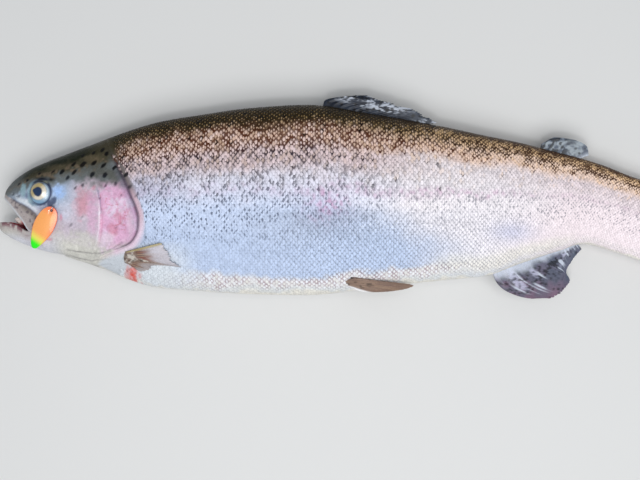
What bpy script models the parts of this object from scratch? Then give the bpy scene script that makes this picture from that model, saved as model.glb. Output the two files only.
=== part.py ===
"""Rainbow trout, life size and still, lying on its right side as a landed fish rests.

Fish measures come first: s runs along the backbone from the snout to the tail, h towards the
back and w towards the fish's left. place() turns them into the model's frame, in metres, where
X runs from head to tail, Y towards the back and Z up. The left flank faces up, and the right
flank is pressed flat on Z = 0. The origin is the middle of the fish's outline on that floor.
"""

from math import cos, pi, radians, sin

import bmesh
import bpy
import numpy as np
from mathutils import Matrix, Vector

MM = 0.001

# Driving dimensions, in millimetres. Every table below is in fish measures s, h and w.
STANDARD_LENGTH = 463.0  # snout to the root of the tail fin
TAIL_FIN_LENGTH = 80.0
GAP = 0.3  # between neighbouring pieces

# The backbone is straight, then bends towards the belly ahead of the tail.
BEND_START = 385.0
BEND_LENGTH = 36.0
BEND_ANGLE = radians(18)

# Body sections: (s, back above the backbone, belly below it, half width, height of the
# backbone over the floor, squareness of the upper half, squareness of the lower half).
# A squareness of 2 is an ellipse, and more is boxier.
BODY = (
    (-2.4, 5.8, 0.4, 1.8, 20.4, 2.0, 2.4),
    (0.0, 11.2, 6.0, 6.2, 20.6, 2.0, 2.6),
    (7.0, 18.0, 13.0, 10.4, 21.1, 2.0, 2.9),
    (18.0, 24.6, 24.0, 14.6, 22.1, 2.0, 3.0),
    (37.0, 32.2, 35.2, 19.2, 23.8, 2.0, 2.8),
    (60.0, 40.6, 42.8, 22.8, 25.2, 2.0, 2.5),
    (80.0, 48.0, 51.0, 25.0, 26.4, 2.0, 2.3),
    (106.0, 55.8, 58.4, 27.2, 27.6, 2.0, 2.2),
    (134.0, 60.4, 60.6, 29.0, 28.4, 2.0, 2.1),
    (170.0, 65.2, 62.6, 31.0, 29.2, 2.0, 2.1),
    (208.0, 67.2, 63.2, 32.0, 29.6, 2.0, 2.1),
    (250.0, 61.2, 58.6, 31.4, 29.2, 2.0, 2.1),
    (300.0, 52.6, 53.2, 28.4, 27.6, 2.0, 2.1),
    (330.0, 46.4, 50.2, 25.4, 26.0, 2.0, 2.1),
    (352.0, 42.2, 42.6, 22.4, 24.4, 2.0, 2.0),
    (380.0, 35.4, 33.6, 18.0, 22.0, 2.0, 2.0),
    (405.0, 29.6, 27.2, 14.4, 19.8, 2.0, 2.0),
    (425.0, 27.0, 26.6, 11.6, 18.4, 2.0, 2.0),
    (448.0, 27.0, 26.8, 8.4, 17.2, 2.0, 2.0),
    (463.0, 28.4, 28.2, 5.4, 16.4, 2.0, 2.0),
    (472.0, 29.6, 29.4, 3.0, 15.8, 2.0, 2.0),
)
SNOUT = BODY[0][0]
BODY_END = BODY[-1][0]
TRUNK_CUTS = (215.0, 350.0)  # where the trunk is parted, and where the tail stalk starts

# The mouth stands open. The upper lip's edge and the seam from its corner to the jaw joint.
UPPER_LIP = ((-3.4, 3.8), (0.8, 0.6), (7.0, -6.0), (12.6, -12.8), (17.4, -19.6))
JAW_JOINT = (40.0, -25.6)
# Lower jaw: (s, lip, underside, half width).
JAW = (
    (-6.6, -14.4, -16.8, 1.6),
    (-5.0, -13.2, -19.0, 4.6),
    (-0.6, -12.9, -22.4, 7.2),
    (7.8, -15.0, -26.8, 9.4),
    (16.8, -19.9, -30.2, 11.2),
    (27.4, -22.6, -33.4, 14.6),
    (39.7, -25.9, -35.8, 17.2),
)
MOUTH_HOLLOW = ((12.0, -13.4, 0.0), (15.0, 6.4, 7.6))  # middle and radii
TONGUE = ((10.2, -12.8, 0.0), (9.4, 2.3, 4.0), -14)  # middle, radii and tilt in degrees

# The gill opening, from the nape to the throat: what lies ahead of it is the head.
GILL_OPENING = (
    (67.0, 62.0),
    (70.0, 44.0),
    (75.4, 32.0),
    (79.4, 24.4),
    (82.2, 19.2),
    (85.8, 11.8),
    (89.2, 3.7),
    (92.4, -3.6),
    (94.2, -10.6),
    (94.0, -16.8),
    (92.0, -22.6),
    (88.4, -27.0),
    (82.0, -30.0),
    (73.6, -33.4),
    (64.0, -38.8),
    (57.0, -60.0),
)
GILL_COVER_FRONT = (
    (64.0, -33.2),
    (67.4, -25.4),
    (69.2, -14.6),
    (69.4, -3.2),
    (67.6, 5.4),
    (66.4, 10.4),
    (68.4, 15.0),
    (74.0, 17.6),
)
GILL_COVER_PROUD = 0.9
GILL_COVER_DEPTH = 2.0

EYE = (26.4, 6.5)
EYE_RADIUS = 7.8
EYE_HALF_DEPTH = 4.0
EYE_PROUD = 2.0
EYE_TURN = -12  # degrees that each eye looks ahead of straight sideways

# Fins: the root runs inside the body from front to rear, and the edge is the free outline.
# Points are (s, h, w). Thickness is at the root and at the edge.
DORSAL_ROOT = ((217.0, 62.0, 0.0), (246.0, 58.0, 0.0), (272.0, 52.0, 0.0))
DORSAL_EDGE = (
    (219.5, 70.4, 0.4),
    (236.5, 73.2, 1.0),
    (250.0, 73.4, 1.6),
    (263.0, 70.2, 2.0),
    (277.5, 65.4, 2.2),
    (290.0, 59.6, 2.4),
    (298.5, 55.0, 2.4),
)
ADIPOSE_ROOT = ((370.0, 33.0, 0.0), (379.0, 31.0, 0.0), (388.0, 28.0, 0.0))
ADIPOSE_EDGE = (
    (372.0, 41.4, 0.4),
    (382.0, 45.4, 1.4),
    (391.0, 43.8, 2.2),
    (398.6, 38.6, 2.8),
    (401.6, 33.6, 2.8),
)
ANAL_ROOT = ((334.0, -44.0, 0.0), (366.0, -32.0, 0.0), (393.0, -23.0, 0.0))
ANAL_EDGE = (
    (337.5, -54.0, -0.4),
    (345.0, -61.4, -1.6),
    (360.0, -65.8, -4.0),
    (376.0, -63.6, -5.8),
    (389.5, -55.0, -6.4),
    (387.0, -47.0, -5.0),
    (391.0, -39.6, -3.8),
    (398.0, -30.6, -1.6),
)
PELVIC_ROOT = ((234.0, -52.0, 8.6), (237.0, -50.4, 12.0), (240.5, -49.0, 14.0))
PELVIC_EDGE = (
    (246.8, -60.6, 10.2),
    (264.0, -61.2, 11.0),
    (277.4, -59.4, 11.6),
    (283.2, -56.6, 12.8),
    (277.0, -55.0, 14.6),
    (259.0, -53.4, 17.0),
)
PECTORAL_ROOT = ((85.6, -40.6, 16.0), (85.2, -37.2, 17.8), (86.4, -33.2, 19.4))
PECTORAL_EDGE = (
    (101.6, -47.6, 18.0),
    (114.0, -46.2, 20.4),
    (124.2, -43.6, 22.6),
    (121.0, -41.6, 23.8),
    (128.4, -39.6, 24.6),
    (119.0, -35.4, 26.2),
    (106.0, -32.2, 26.4),
)
# The tail fin, from its upper lobe to its lower one, sagging towards the floor.
TAIL_ROOT_DEPTH = 27.4
TAIL_SPREAD = 49.0  # half the fin's height at its tips
TAIL_FORK = 14.0
TAIL_SAG = 14.8

# Spoon lure, hooked in the corner of the mouth.
LURE_MIDDLE = (29.6, -17.2)
LURE_LENGTH = 32.0
LURE_WIDTH = 14.0
LURE_THICKNESS = 0.9
LURE_CUP = 1.6
LURE_CLEARANCE = 3.2
LURE_HEADING = 61  # degrees of its long axis above s
LURE_TILT = -12  # degrees, its upper end out
LURE_HOLE = 0.9
RING_RADIUS = 1.7
WIRE_RADIUS = 0.35
HOOK_EYE = 0.95
HOOK_SHANK = 10.0
HOOK_BEND = 2.8
HOOK_POINT = 3.6
HOOK_HANG = radians(50)

SKIN = (0.42, 0.40, 0.36)
HEAD = (0.36, 0.36, 0.34)
FIN = (0.16, 0.16, 0.18)
FLESH = (0.62, 0.30, 0.28)
PEARL = (0.78, 0.72, 0.55)
STEEL = (0.55, 0.55, 0.56)
ORANGE = (0.90, 0.30, 0.08)


def clear_scene():
    for obj in list(bpy.data.objects):
        bpy.data.objects.remove(obj)


def collection(name):
    made = bpy.data.collections.new(name)
    bpy.context.scene.collection.children.link(made)
    return made


def smooth_curve(knots, values):
    """A curve through the values that is smooth and never overshoots them."""
    x = np.asarray(knots, float)
    y = np.asarray(values, float).reshape(len(x), -1)
    step = np.diff(x)[:, None]
    slope = np.diff(y, axis=0) / step
    tangent = np.empty_like(y)
    tangent[0] = slope[0]
    tangent[-1] = slope[-1]
    before, after = slope[:-1], slope[1:]
    same_way = before * after > 0
    total = np.where(same_way, before + after, 1.0)
    tangent[1:-1] = np.where(same_way, 2 * before * after / total, 0.0)

    def at(t):
        i = int(np.clip(np.searchsorted(x, t) - 1, 0, len(x) - 2))
        u = (t - x[i]) / step[i, 0]
        return (
            (1 + 2 * u) * (1 - u) ** 2 * y[i]
            + u * (1 - u) ** 2 * step[i, 0] * tangent[i]
            + u * u * (3 - 2 * u) * y[i + 1]
            - u * u * (1 - u) * step[i, 0] * tangent[i + 1]
        )

    return at


def path_through(points):
    """A function of 0 to 1 that runs smoothly through the points, by their distance."""
    points = np.asarray(points, float)
    run = np.concatenate([[0], np.cumsum(np.linalg.norm(np.diff(points, axis=0), axis=1))])
    return smooth_curve(run / run[-1], points)


def rooted(s):
    """Sections are read along the root of the way from the snout, which makes it blunt."""
    return max(s - SNOUT, 0.0) ** 0.5


_body_at = smooth_curve([rooted(row[0]) for row in BODY], [row[1:] for row in BODY])


def body_at(s, grow=0.0):
    back, belly, half_width, lift, upper, lower = _body_at(rooted(s))
    return back + grow, belly + grow, half_width + grow, lift, upper, lower


def flank(s, h):
    """Half width of the body at s and h, or 0 beyond its outline."""
    back, belly, half_width, _, upper, lower = body_at(s)
    share, power = (h / back, upper) if h > 0 else (-h / belly, lower)
    return half_width * max(0.0, 1 - share**power) ** (1 / power)


def place(s, h, w):
    """A point in fish measures as a point of the model, in metres."""
    radius = BEND_LENGTH / BEND_ANGLE
    turned = min(max(s - BEND_START, 0.0) / radius, BEND_ANGLE)
    beyond = s - BEND_START - radius * turned
    x = BEND_START + (radius + h) * sin(turned) + beyond * cos(turned)
    y = (radius + h) * cos(turned) - radius - beyond * sin(turned)
    lift = body_at(min(s, BODY_END))[3]
    return Vector((x, y, max(lift + w, 0.0))) * MM


def material(name, colour, roughness, metallic=0.0):
    made = bpy.data.materials.new(name)
    made.use_nodes = True
    shader = made.node_tree.nodes["Principled BSDF"]
    shader.inputs["Base Color"].default_value = (*colour, 1)
    shader.inputs["Roughness"].default_value = roughness
    shader.inputs["Metallic"].default_value = metallic
    return made


def new_object(name, mesh, owner, look=None):
    obj = bpy.data.objects.new(name, mesh)
    owner.objects.link(obj)
    if look:
        mesh.materials.append(look)
    if owner.hide_render:
        obj.hide_render = True
        obj.display_type = "WIRE"
    return obj


def object_from(bm, name, owner, look=None):
    bmesh.ops.recalc_face_normals(bm, faces=bm.faces)
    mesh = bpy.data.meshes.new(name)
    bm.to_mesh(mesh)
    bm.free()
    mesh.shade_smooth()
    return new_object(name, mesh, owner, look)


def loft(name, rings, owner, look=None):
    """A closed body through rings of equally many points, with its ends capped."""
    bm = bmesh.new()
    rows = [[bm.verts.new(point) for point in ring] for ring in rings]
    for ring, following in zip(rows, rows[1:]):
        for i in range(len(ring)):
            j = (i + 1) % len(ring)
            bm.faces.new((ring[i], ring[j], following[j], following[i]))
    bm.faces.new(rows[0][::-1])
    bm.faces.new(rows[-1])
    return object_from(bm, name, owner, look)


def body_ring(s, grow, count):
    back, belly, half_width, _, upper, lower = body_at(s, grow)
    ring = []
    for i in range(count):
        c, d = cos(2 * pi * i / count), sin(2 * pi * i / count)
        power, reach = (upper, back) if c > 0 else (lower, belly)
        h = np.sign(c) * reach * abs(c) ** (2 / power)
        w = np.sign(d) * half_width * abs(d) ** (2 / power)
        ring.append(place(s, h, w))
    return ring


def body_loft(name, start, end, owner, look=None, grow=0.0, spacing=10.0, count=28):
    """A length of the whole fish's body, with closer rings towards the snout."""
    first, last = rooted(start), rooted(end)
    steps = max(3, round((end - start) / spacing), round((last - first) * 1.6))
    rings = []
    for i in range(steps + 1):
        share = i / steps
        even = start + (end - start) * share
        close = SNOUT + (first + (last - first) * share) ** 2
        rings.append(body_ring((even + close) / 2, grow, count))
    return loft(name, rings, owner, look)


def grown(outline, distance):
    """The closed outline moved outwards, for a cutter that leaves a gap round a piece."""
    points = np.asarray(outline, float)
    along = np.roll(points, -1, axis=0) - np.roll(points, 1, axis=0)
    normal = np.column_stack([along[:, 1], -along[:, 0]])
    normal /= np.linalg.norm(normal, axis=1)[:, None]
    x, y = points.T
    area = np.sum(x * np.roll(y, -1) - y * np.roll(x, -1))
    return points + np.sign(area) * distance * normal


def prism(name, outline, low, high, owner, look=None):
    """The outline in s and h, run straight across the fish from w = low to w = high."""
    bm = bmesh.new()
    face = bm.faces.new([bm.verts.new(place_flat(s, h, low)) for s, h in outline])
    copied = bmesh.ops.extrude_face_region(bm, geom=[face])["geom"]
    moved = [item for item in copied if isinstance(item, bmesh.types.BMVert)]
    bmesh.ops.translate(bm, verts=moved, vec=(0, 0, (high - low) * MM))
    bmesh.ops.triangulate(bm, faces=[f for f in bm.faces if len(f.verts) > 4])
    return object_from(bm, name, owner, look)


def place_flat(s, h, w):
    """place() without the body's own rise and fall, or the floor, for straight cuts."""
    point = place(s, h, 0.0)
    point.z = (body_at(EYE[0])[3] + w) * MM
    return point


def boolean(obj, other, operation):
    modifier = obj.modifiers.new(f"{operation.lower()} {other.name}", "BOOLEAN")
    modifier.operation = operation
    modifier.object = other
    modifier.solver = "EXACT"


def ellipsoid(name, middle, radii, owner, look=None, turn=None, segments=16):
    bm = bmesh.new()
    bmesh.ops.create_uvsphere(bm, u_segments=segments, v_segments=segments // 2, radius=MM)
    obj = object_from(bm, name, owner, look)
    obj.data.transform(Matrix.Diagonal((*radii, 1)))
    if turn:
        obj.data.transform(turn)
    obj.data.transform(Matrix.Translation(middle))
    return obj


def blade(name, root, edge, thickness, owner, look, grid=(16, 4), side=1, bow=1.0):
    """A fin: a sheet from its root to its free edge, thick at the root and thin at the edge.

    A bow under 1 lifts the sheet off the body soon after its root.
    """
    at_root, at_edge = path_through(root), path_through(edge)
    rays, steps = grid
    bm = bmesh.new()
    depth = bm.verts.layers.deform.verify()
    rows = []
    for i in range(rays + 1):
        inner, outer = at_root(i / rays), at_edge(i / rays)
        row = []
        for j in range(steps + 1):
            out = j / steps
            s, h, w = inner + (outer - inner) * np.array([out, out, out**bow])
            vertex = bm.verts.new(place(s, h, side * w))
            vertex[depth][0] = 1 - out**0.7
            row.append(vertex)
        rows.append(row)
    for row, following in zip(rows, rows[1:]):
        for j in range(steps):
            bm.faces.new((row[j], row[j + 1], following[j + 1], following[j]))
    obj = object_from(bm, name, owner, look)
    obj.vertex_groups.new(name="root")
    solid = obj.modifiers.new("thickness", "SOLIDIFY")
    solid.thickness = thickness[0] * MM
    solid.offset = 0
    solid.vertex_group = "root"
    solid.thickness_vertex_group = thickness[1] / thickness[0]
    return obj


def make_head(parts, cutters, looks):
    """The head with its upper jaw, and the lower jaw and tongue under it."""
    head = body_loft("head", SNOUT, 100.0, parts, looks["head"], spacing=6.0)
    ahead = [*GILL_OPENING, (-20.0, -70.0), (-20.0, 70.0)]
    boolean(head, prism("head_reach", ahead, -70, 70, cutters), "INTERSECT")
    seam = [*UPPER_LIP, JAW_JOINT, (44.0, -60.0), (-20.0, -60.0), (-20.0, 3.6)]
    boolean(head, prism("mouth_opening", seam, -70, 70, cutters), "DIFFERENCE")
    middle, radii = MOUTH_HOLLOW
    hollow = ellipsoid("mouth_hollow", place(*middle), radii, cutters)
    boolean(head, hollow, "DIFFERENCE")

    jaw_at = smooth_curve([row[0] for row in JAW], [row[1:] for row in JAW])
    rings = []
    across = 16
    steps = 12
    for i in range(steps + 1):
        s = JAW[0][0] + (JAW[-1][0] - JAW[0][0]) * (i / steps) ** 1.4
        lip, under, half_width = jaw_at(s)
        arc = [pi * j / across for j in range(across + 1)]
        ring = [
            place(s, lip - (lip - under) * sin(a) ** 0.8, half_width * cos(a)) for a in arc
        ]
        rings.append(ring)
    jaw = loft("lower_jaw", rings, parts, looks["head"])
    boolean(jaw, hollow, "DIFFERENCE")
    middle, radii, tilt = TONGUE
    turn = Matrix.Rotation(radians(tilt), 4, "Z")
    ellipsoid("tongue", place(*middle), radii, parts, looks["flesh"], turn, 16)
    pocket = ellipsoid(
        "tongue_pocket", place(*middle), [r + GAP for r in radii], cutters, None, turn, 16
    )
    for piece in (head, jaw):
        boolean(piece, pocket, "DIFFERENCE")
    return head


def make_gill_covers(head, parts, cutters, looks):
    """Each cover is a plate let into the head and standing a little proud of it."""
    rear = [point for point in GILL_OPENING if -34.0 < point[1] < 21.0]
    outline = [*rear, *GILL_COVER_FRONT]
    outer = body_loft("cover_outside", SNOUT, 110, cutters, grow=GILL_COVER_PROUD, spacing=6.0)
    inner = body_loft("cover_inside", 30, 110, cutters, grow=-GILL_COVER_DEPTH, spacing=6.0)
    depth = GILL_COVER_DEPTH + GAP
    pocket_floor = body_loft("pocket_floor", 30, 110, cutters, grow=-depth, spacing=6.0)
    for name, low, high in (("left", 4, 60), ("right", -60, -4)):
        cover = prism(f"gill_cover_{name}", outline, low, high, parts, looks["head"])
        boolean(cover, outer, "INTERSECT")
        boolean(cover, inner, "DIFFERENCE")
        room = prism(f"pocket_{name}", grown(outline, GAP), low - 1, high + 1, cutters)
        boolean(room, pocket_floor, "DIFFERENCE")
        boolean(head, room, "DIFFERENCE")


def make_eyes(head, parts, cutters, looks):
    """Flattened balls, set in sockets so that their fronts stand proud of the cheeks."""
    s, h = EYE
    w = flank(s, h) + EYE_PROUD - EYE_HALF_DEPTH
    for name, side in (("left", 1), ("right", -1)):
        turn = Matrix.Rotation(radians(side * EYE_TURN), 4, "Y")
        middle = place(s, h, side * w)
        radii = (EYE_RADIUS, EYE_RADIUS, EYE_HALF_DEPTH)
        ellipsoid(f"eye_{name}", middle, radii, parts, looks["eye"], turn)
        room = [radius + GAP for radius in radii]
        socket = ellipsoid(f"socket_{name}", middle, room, cutters, None, turn)
        boolean(head, socket, "DIFFERENCE")


def make_trunk(parts, cutters, looks):
    """The trunk in two lengths and the stalk of the tail, parted by thin cuts."""
    first, second = TRUNK_CUTS
    half = GAP / 2
    front = body_loft("trunk_front", 50.0, first - half, parts, looks["skin"])
    ahead = grown([*GILL_OPENING, (-20.0, -90.0), (-20.0, 90.0)], GAP)
    boolean(front, prism("head_room", ahead, -70, 70, cutters), "DIFFERENCE")
    body_loft("trunk_rear", first + half, second - half, parts, looks["skin"])
    body_loft("tail_stalk", second + half, BODY_END, parts, looks["skin"])


def tail_fin_edge():
    """The tail fin's free edge: round tips and a shallow fork."""
    tip = STANDARD_LENGTH + TAIL_FIN_LENGTH
    edge = []
    for i in range(13):
        across = 1 - i / 6
        fork = TAIL_FORK * (1 - abs(across) ** 1.6)
        rounding = 9.0 * abs(across) ** 12
        edge.append((tip - fork - rounding, TAIL_SPREAD * across, -TAIL_SAG))
    return edge


def make_fins(parts, cutters, looks):
    """Every fin is cut to the body that carries it."""
    body = body_loft("body_room", SNOUT, BODY_END, cutters, grow=GAP)
    root = [(BODY_END - 3, TAIL_ROOT_DEPTH * side, 0.0) for side in (1, 0, -1)]
    fins = []
    for name, start, end, thickness, grid in (
        ("caudal_fin", root, tail_fin_edge(), (4.6, 0.8), (20, 5)),
        ("dorsal_fin", DORSAL_ROOT, DORSAL_EDGE, (4.0, 0.9), (14, 3)),
        ("adipose_fin", ADIPOSE_ROOT, ADIPOSE_EDGE, (3.6, 1.2), (8, 3)),
        ("anal_fin", ANAL_ROOT, ANAL_EDGE, (3.2, 0.8), (16, 4)),
    ):
        fins.append(blade(name, start, end, thickness, parts, looks["fin"], grid))
    for name, side in (("left", 1), ("right", -1)):
        for kind, start, end, bow in (
            ("pelvic", PELVIC_ROOT, PELVIC_EDGE, 1.0),
            ("pectoral", PECTORAL_ROOT, PECTORAL_EDGE, 0.5),
        ):
            label = f"{kind}_fin_{name}"
            fin = blade(
                label, start, end, (2.2, 0.8), parts, looks["fin"], (12, 4), side, bow
            )
            fins.append(fin)
    for fin in fins:
        boolean(fin, body, "DIFFERENCE")


def make_lure(head, parts, cutters, looks):
    """A cupped spoon over the corner of the mouth, its split ring and the hook under it."""
    s, h = LURE_MIDDLE
    turn = Matrix.Rotation(radians(LURE_HEADING), 4, "Z")
    tilt = Matrix.Rotation(radians(LURE_TILT), 4, "Y")
    middle = place(s, h, flank(s, h) + LURE_CLEARANCE)
    frame = Matrix.Translation(middle) @ turn @ tilt

    bm = bmesh.new()
    bmesh.ops.create_grid(bm, x_segments=14, y_segments=6, size=1)
    for vertex in bm.verts:
        along, across = vertex.co.x, vertex.co.y
        width = (1 + 0.08 * along) * max(1 - abs(along) ** 2.4, 0.012) ** 0.5
        dish = 1 - along**2 - 0.5 * (across * width) ** 2
        vertex.co.x = along * LURE_LENGTH / 2 * MM
        vertex.co.y = across * width * LURE_WIDTH / 2 * MM
        vertex.co.z = LURE_CUP * dish * MM
    spoon = object_from(bm, "lure_blade", parts, looks["paint"])
    spoon.data.transform(frame)
    solid = spoon.modifiers.new("thickness", "SOLIDIFY")
    solid.thickness = LURE_THICKNESS * MM
    solid.offset = 0
    hole_at = LURE_LENGTH / 2 - LURE_HOLE - 1.5
    room = (LURE_HOLE, LURE_HOLE, 4)
    hole = ellipsoid("lure_hole", (hole_at * MM, 0, 0), room, cutters, None, None, 12)
    hole.data.transform(frame)
    boolean(spoon, hole, "DIFFERENCE")

    ring_at = Vector((hole_at + RING_RADIUS, 0, 0))
    bpy.ops.mesh.primitive_torus_add(
        major_segments=18,
        minor_segments=8,
        major_radius=RING_RADIUS * MM,
        minor_radius=WIRE_RADIUS * MM,
    )
    ring = bpy.context.object.data
    ring.transform(Matrix.Rotation(pi / 2, 4, "X"))
    ring.transform(frame @ Matrix.Translation(ring_at * MM))
    bpy.data.objects.remove(bpy.context.object)
    new_object("lure_ring", ring, parts, looks["steel"])

    hook = hook_line(ring_at)
    wire("lure_hook", hook, WIRE_RADIUS, frame, parts, looks["steel"])
    room = wire("hook_room", hook, WIRE_RADIUS + GAP, frame, cutters)
    boolean(head, room, "DIFFERENCE")


def hook_line(ring_at):
    """The hook's wire: an eye round the ring, a shank under the spoon, a bend and a point."""
    down = Vector((-cos(HOOK_HANG), 0, -sin(HOOK_HANG)))
    across = Vector((0, 1, 0))
    eye = ring_at + RING_RADIUS * down
    line = []
    for i in range(12):
        a = radians(38 + 284 * i / 11)
        line.append(eye + HOOK_EYE * (cos(a) * down + sin(a) * across))
    start = eye + (HOOK_EYE + 0.7) * down
    end = start + Vector((-HOOK_SHANK, 0, -0.3))
    line += [start, start.lerp(end, 0.12), start.lerp(end, 0.6)]
    for i in range(9):
        a = pi * i / 8
        line.append(end + HOOK_BEND * Vector((-sin(a), 0, cos(a) - 1)))
    line.append(line[-1] + Vector((HOOK_POINT, 0, 0.8)))
    return line


def wire(name, line, radius, frame, owner, look=None):
    """Round wire along a line of points in the lure's own measures, as a mesh."""
    curve = bpy.data.curves.new(name, "CURVE")
    curve.dimensions = "3D"
    curve.bevel_depth = radius * MM
    curve.bevel_resolution = 2
    curve.use_fill_caps = True
    spline = curve.splines.new("POLY")
    spline.points.add(len(line) - 1)
    for knot, point in zip(spline.points, line):
        knot.co = (*(frame @ (point * MM)), 1)
    drawn = new_object(f"{name}_line", curve, owner)
    graph = bpy.context.evaluated_depsgraph_get()
    mesh = bpy.data.meshes.new_from_object(drawn.evaluated_get(graph))
    bpy.data.objects.remove(drawn)
    bm = bmesh.new()
    bm.from_mesh(mesh)
    bmesh.ops.remove_doubles(bm, verts=bm.verts, dist=0.01 * MM)
    return object_from(bm, name, owner, look)


def centre_on_origin(parts):
    """Stands everything under one empty, so that the outline's middle is the origin."""
    bpy.context.view_layer.update()
    graph = bpy.context.evaluated_depsgraph_get()
    corners = []
    for obj in parts.objects:
        shape = obj.evaluated_get(graph)
        corners += [shape.matrix_world @ Vector(corner) for corner in shape.bound_box]
    low = Vector(min(point[i] for point in corners) for i in range(3))
    high = Vector(max(point[i] for point in corners) for i in range(3))
    root = bpy.data.objects.new("rainbow_trout", None)
    bpy.context.scene.collection.objects.link(root)
    root.location = (-(low.x + high.x) / 2, -(low.y + high.y) / 2, -low.z)
    for obj in list(bpy.data.objects):
        if obj is not root:
            obj.parent = root


def main():
    clear_scene()
    parts = collection("rainbow trout")
    cutters = collection("cutters")
    cutters.hide_render = True
    looks = {
        "skin": material("skin", SKIN, 0.35, 0.3),
        "head": material("head", HEAD, 0.35, 0.2),
        "fin": material("fin", FIN, 0.45),
        "flesh": material("flesh", FLESH, 0.4),
        "eye": material("eye", PEARL, 0.08),
        "steel": material("steel", STEEL, 0.25, 1.0),
        "paint": material("paint", ORANGE, 0.3),
    }
    head = make_head(parts, cutters, looks)
    make_gill_covers(head, parts, cutters, looks)
    make_eyes(head, parts, cutters, looks)
    make_trunk(parts, cutters, looks)
    make_fins(parts, cutters, looks)
    make_lure(head, parts, cutters, looks)
    centre_on_origin(parts)


main()
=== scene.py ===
"""Looks of the rainbow trout: its skin, scales, fins, eyes and the spoon lure it wears.

Fish measures are those of the model's source, in millimetres: s runs along the backbone from
the snout, h towards the back and w towards the fish's left. place() turns them into the frame.
Colours are painted on the vertices by functions of s, h and w, so that the skin and the scales
over it carry the same markings; the materials add grain, bump and the wet gloss.
"""

from math import cos, pi, radians, sin

import bmesh
import bpy
import numpy as np
from mathutils import Matrix, Vector

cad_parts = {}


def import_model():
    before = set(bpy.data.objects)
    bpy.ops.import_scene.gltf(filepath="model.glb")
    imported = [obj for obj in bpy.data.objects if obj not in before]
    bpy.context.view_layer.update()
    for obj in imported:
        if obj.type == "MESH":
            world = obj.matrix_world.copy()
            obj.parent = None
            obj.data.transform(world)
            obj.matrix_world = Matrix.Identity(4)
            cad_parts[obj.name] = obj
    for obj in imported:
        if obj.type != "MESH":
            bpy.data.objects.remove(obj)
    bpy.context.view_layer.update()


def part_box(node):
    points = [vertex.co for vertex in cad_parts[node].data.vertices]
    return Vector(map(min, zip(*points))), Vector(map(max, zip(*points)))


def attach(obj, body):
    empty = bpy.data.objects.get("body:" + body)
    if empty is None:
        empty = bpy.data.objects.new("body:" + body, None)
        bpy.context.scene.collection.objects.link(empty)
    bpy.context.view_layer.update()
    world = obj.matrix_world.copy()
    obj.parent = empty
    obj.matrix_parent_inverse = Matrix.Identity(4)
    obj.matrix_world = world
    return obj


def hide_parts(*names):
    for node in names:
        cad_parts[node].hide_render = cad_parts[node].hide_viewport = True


MM = 0.001

# ---------------------------------------------------------------- the fish's measures
# The body, jaw, gill covers, eyes and lure are as in the solids. The fins' edges, the tongue and
# the mouth's inside lie within a few millimetres of the solids' own.

# s, how far the back and the belly are from h = 0, half width, height of w = 0 over the floor,
# and the powers that round the section above and below
BODY = (
    (-2.4, 5.8, 0.4, 1.8, 20.4, 2.0, 2.4), (0.0, 11.2, 6.0, 6.2, 20.6, 2.0, 2.6),
    (7.0, 18.0, 13.0, 10.4, 21.1, 2.0, 2.9), (18.0, 24.6, 24.0, 14.6, 22.1, 2.0, 3.0),
    (37.0, 32.2, 35.2, 19.2, 23.8, 2.0, 2.8), (60.0, 40.6, 42.8, 22.8, 25.2, 2.0, 2.5),
    (80.0, 48.0, 51.0, 25.0, 26.4, 2.0, 2.3), (106.0, 55.8, 58.4, 27.2, 27.6, 2.0, 2.2),
    (134.0, 60.4, 60.6, 29.0, 28.4, 2.0, 2.1), (170.0, 65.2, 62.6, 31.0, 29.2, 2.0, 2.1),
    (208.0, 67.2, 63.2, 32.0, 29.6, 2.0, 2.1), (250.0, 61.2, 58.6, 31.4, 29.2, 2.0, 2.1),
    (300.0, 52.6, 53.2, 28.4, 27.6, 2.0, 2.1), (330.0, 46.4, 50.2, 25.4, 26.0, 2.0, 2.1),
    (352.0, 42.2, 42.6, 22.4, 24.4, 2.0, 2.0), (380.0, 35.4, 33.6, 18.0, 22.0, 2.0, 2.0),
    (405.0, 29.6, 27.2, 14.4, 19.8, 2.0, 2.0), (425.0, 27.0, 26.6, 11.6, 18.4, 2.0, 2.0),
    (448.0, 27.0, 26.8, 8.4, 17.2, 2.0, 2.0), (463.0, 28.4, 28.2, 5.4, 16.4, 2.0, 2.0),
    (472.0, 29.6, 29.4, 3.0, 15.8, 2.0, 2.0),
)
SNOUT = BODY[0][0]
BODY_END = BODY[-1][0]
STANDARD_LENGTH = 463.0
BEND_START = 385.0
BEND_LENGTH = 36.0
BEND_ANGLE = radians(18)

# from here on, points are s and h, or s, h and w, unless said otherwise
UPPER_LIP = ((-3.4, 3.8), (0.8, 0.6), (7.0, -6.0), (12.6, -12.8), (17.4, -19.6))
JAW_JOINT = (40.0, -25.6)
# s, the lip's and the underside's h, and half width
JAW = (
    (-6.6, -14.4, -16.8, 1.6), (-5.0, -13.2, -19.0, 4.6), (-0.6, -12.9, -22.4, 7.2),
    (7.8, -15.0, -26.8, 9.4), (16.8, -19.9, -30.2, 11.2), (27.4, -22.6, -33.4, 14.6),
    (39.7, -25.9, -35.8, 17.2), (52.0, -28.0, -39.0, 18.0),
)
MOUTH_HOLLOW = ((12.0, -13.4, 0.0), (15.0, 6.4, 7.6))  # middle and radii
# s, the middle's h, half height and half width
MOUTH_ROOM = (
    (0.5, -3.5, 3.6, 2.6), (2.5, -5.0, 5.6, 4.4), (6.0, -8.5, 6.2, 6.8), (12.0, -14.0, 6.8, 8.8),
    (20.0, -15.5, 7.4, 11.0), (30.0, -16.0, 6.0, 9.0), (38.0, -17.0, 2.0, 4.0),
)
TONGUE = ((12.2, -12.6, 0.0), (7.6, 3.4, 4.6), -14)  # middle, radii and tilt

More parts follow.
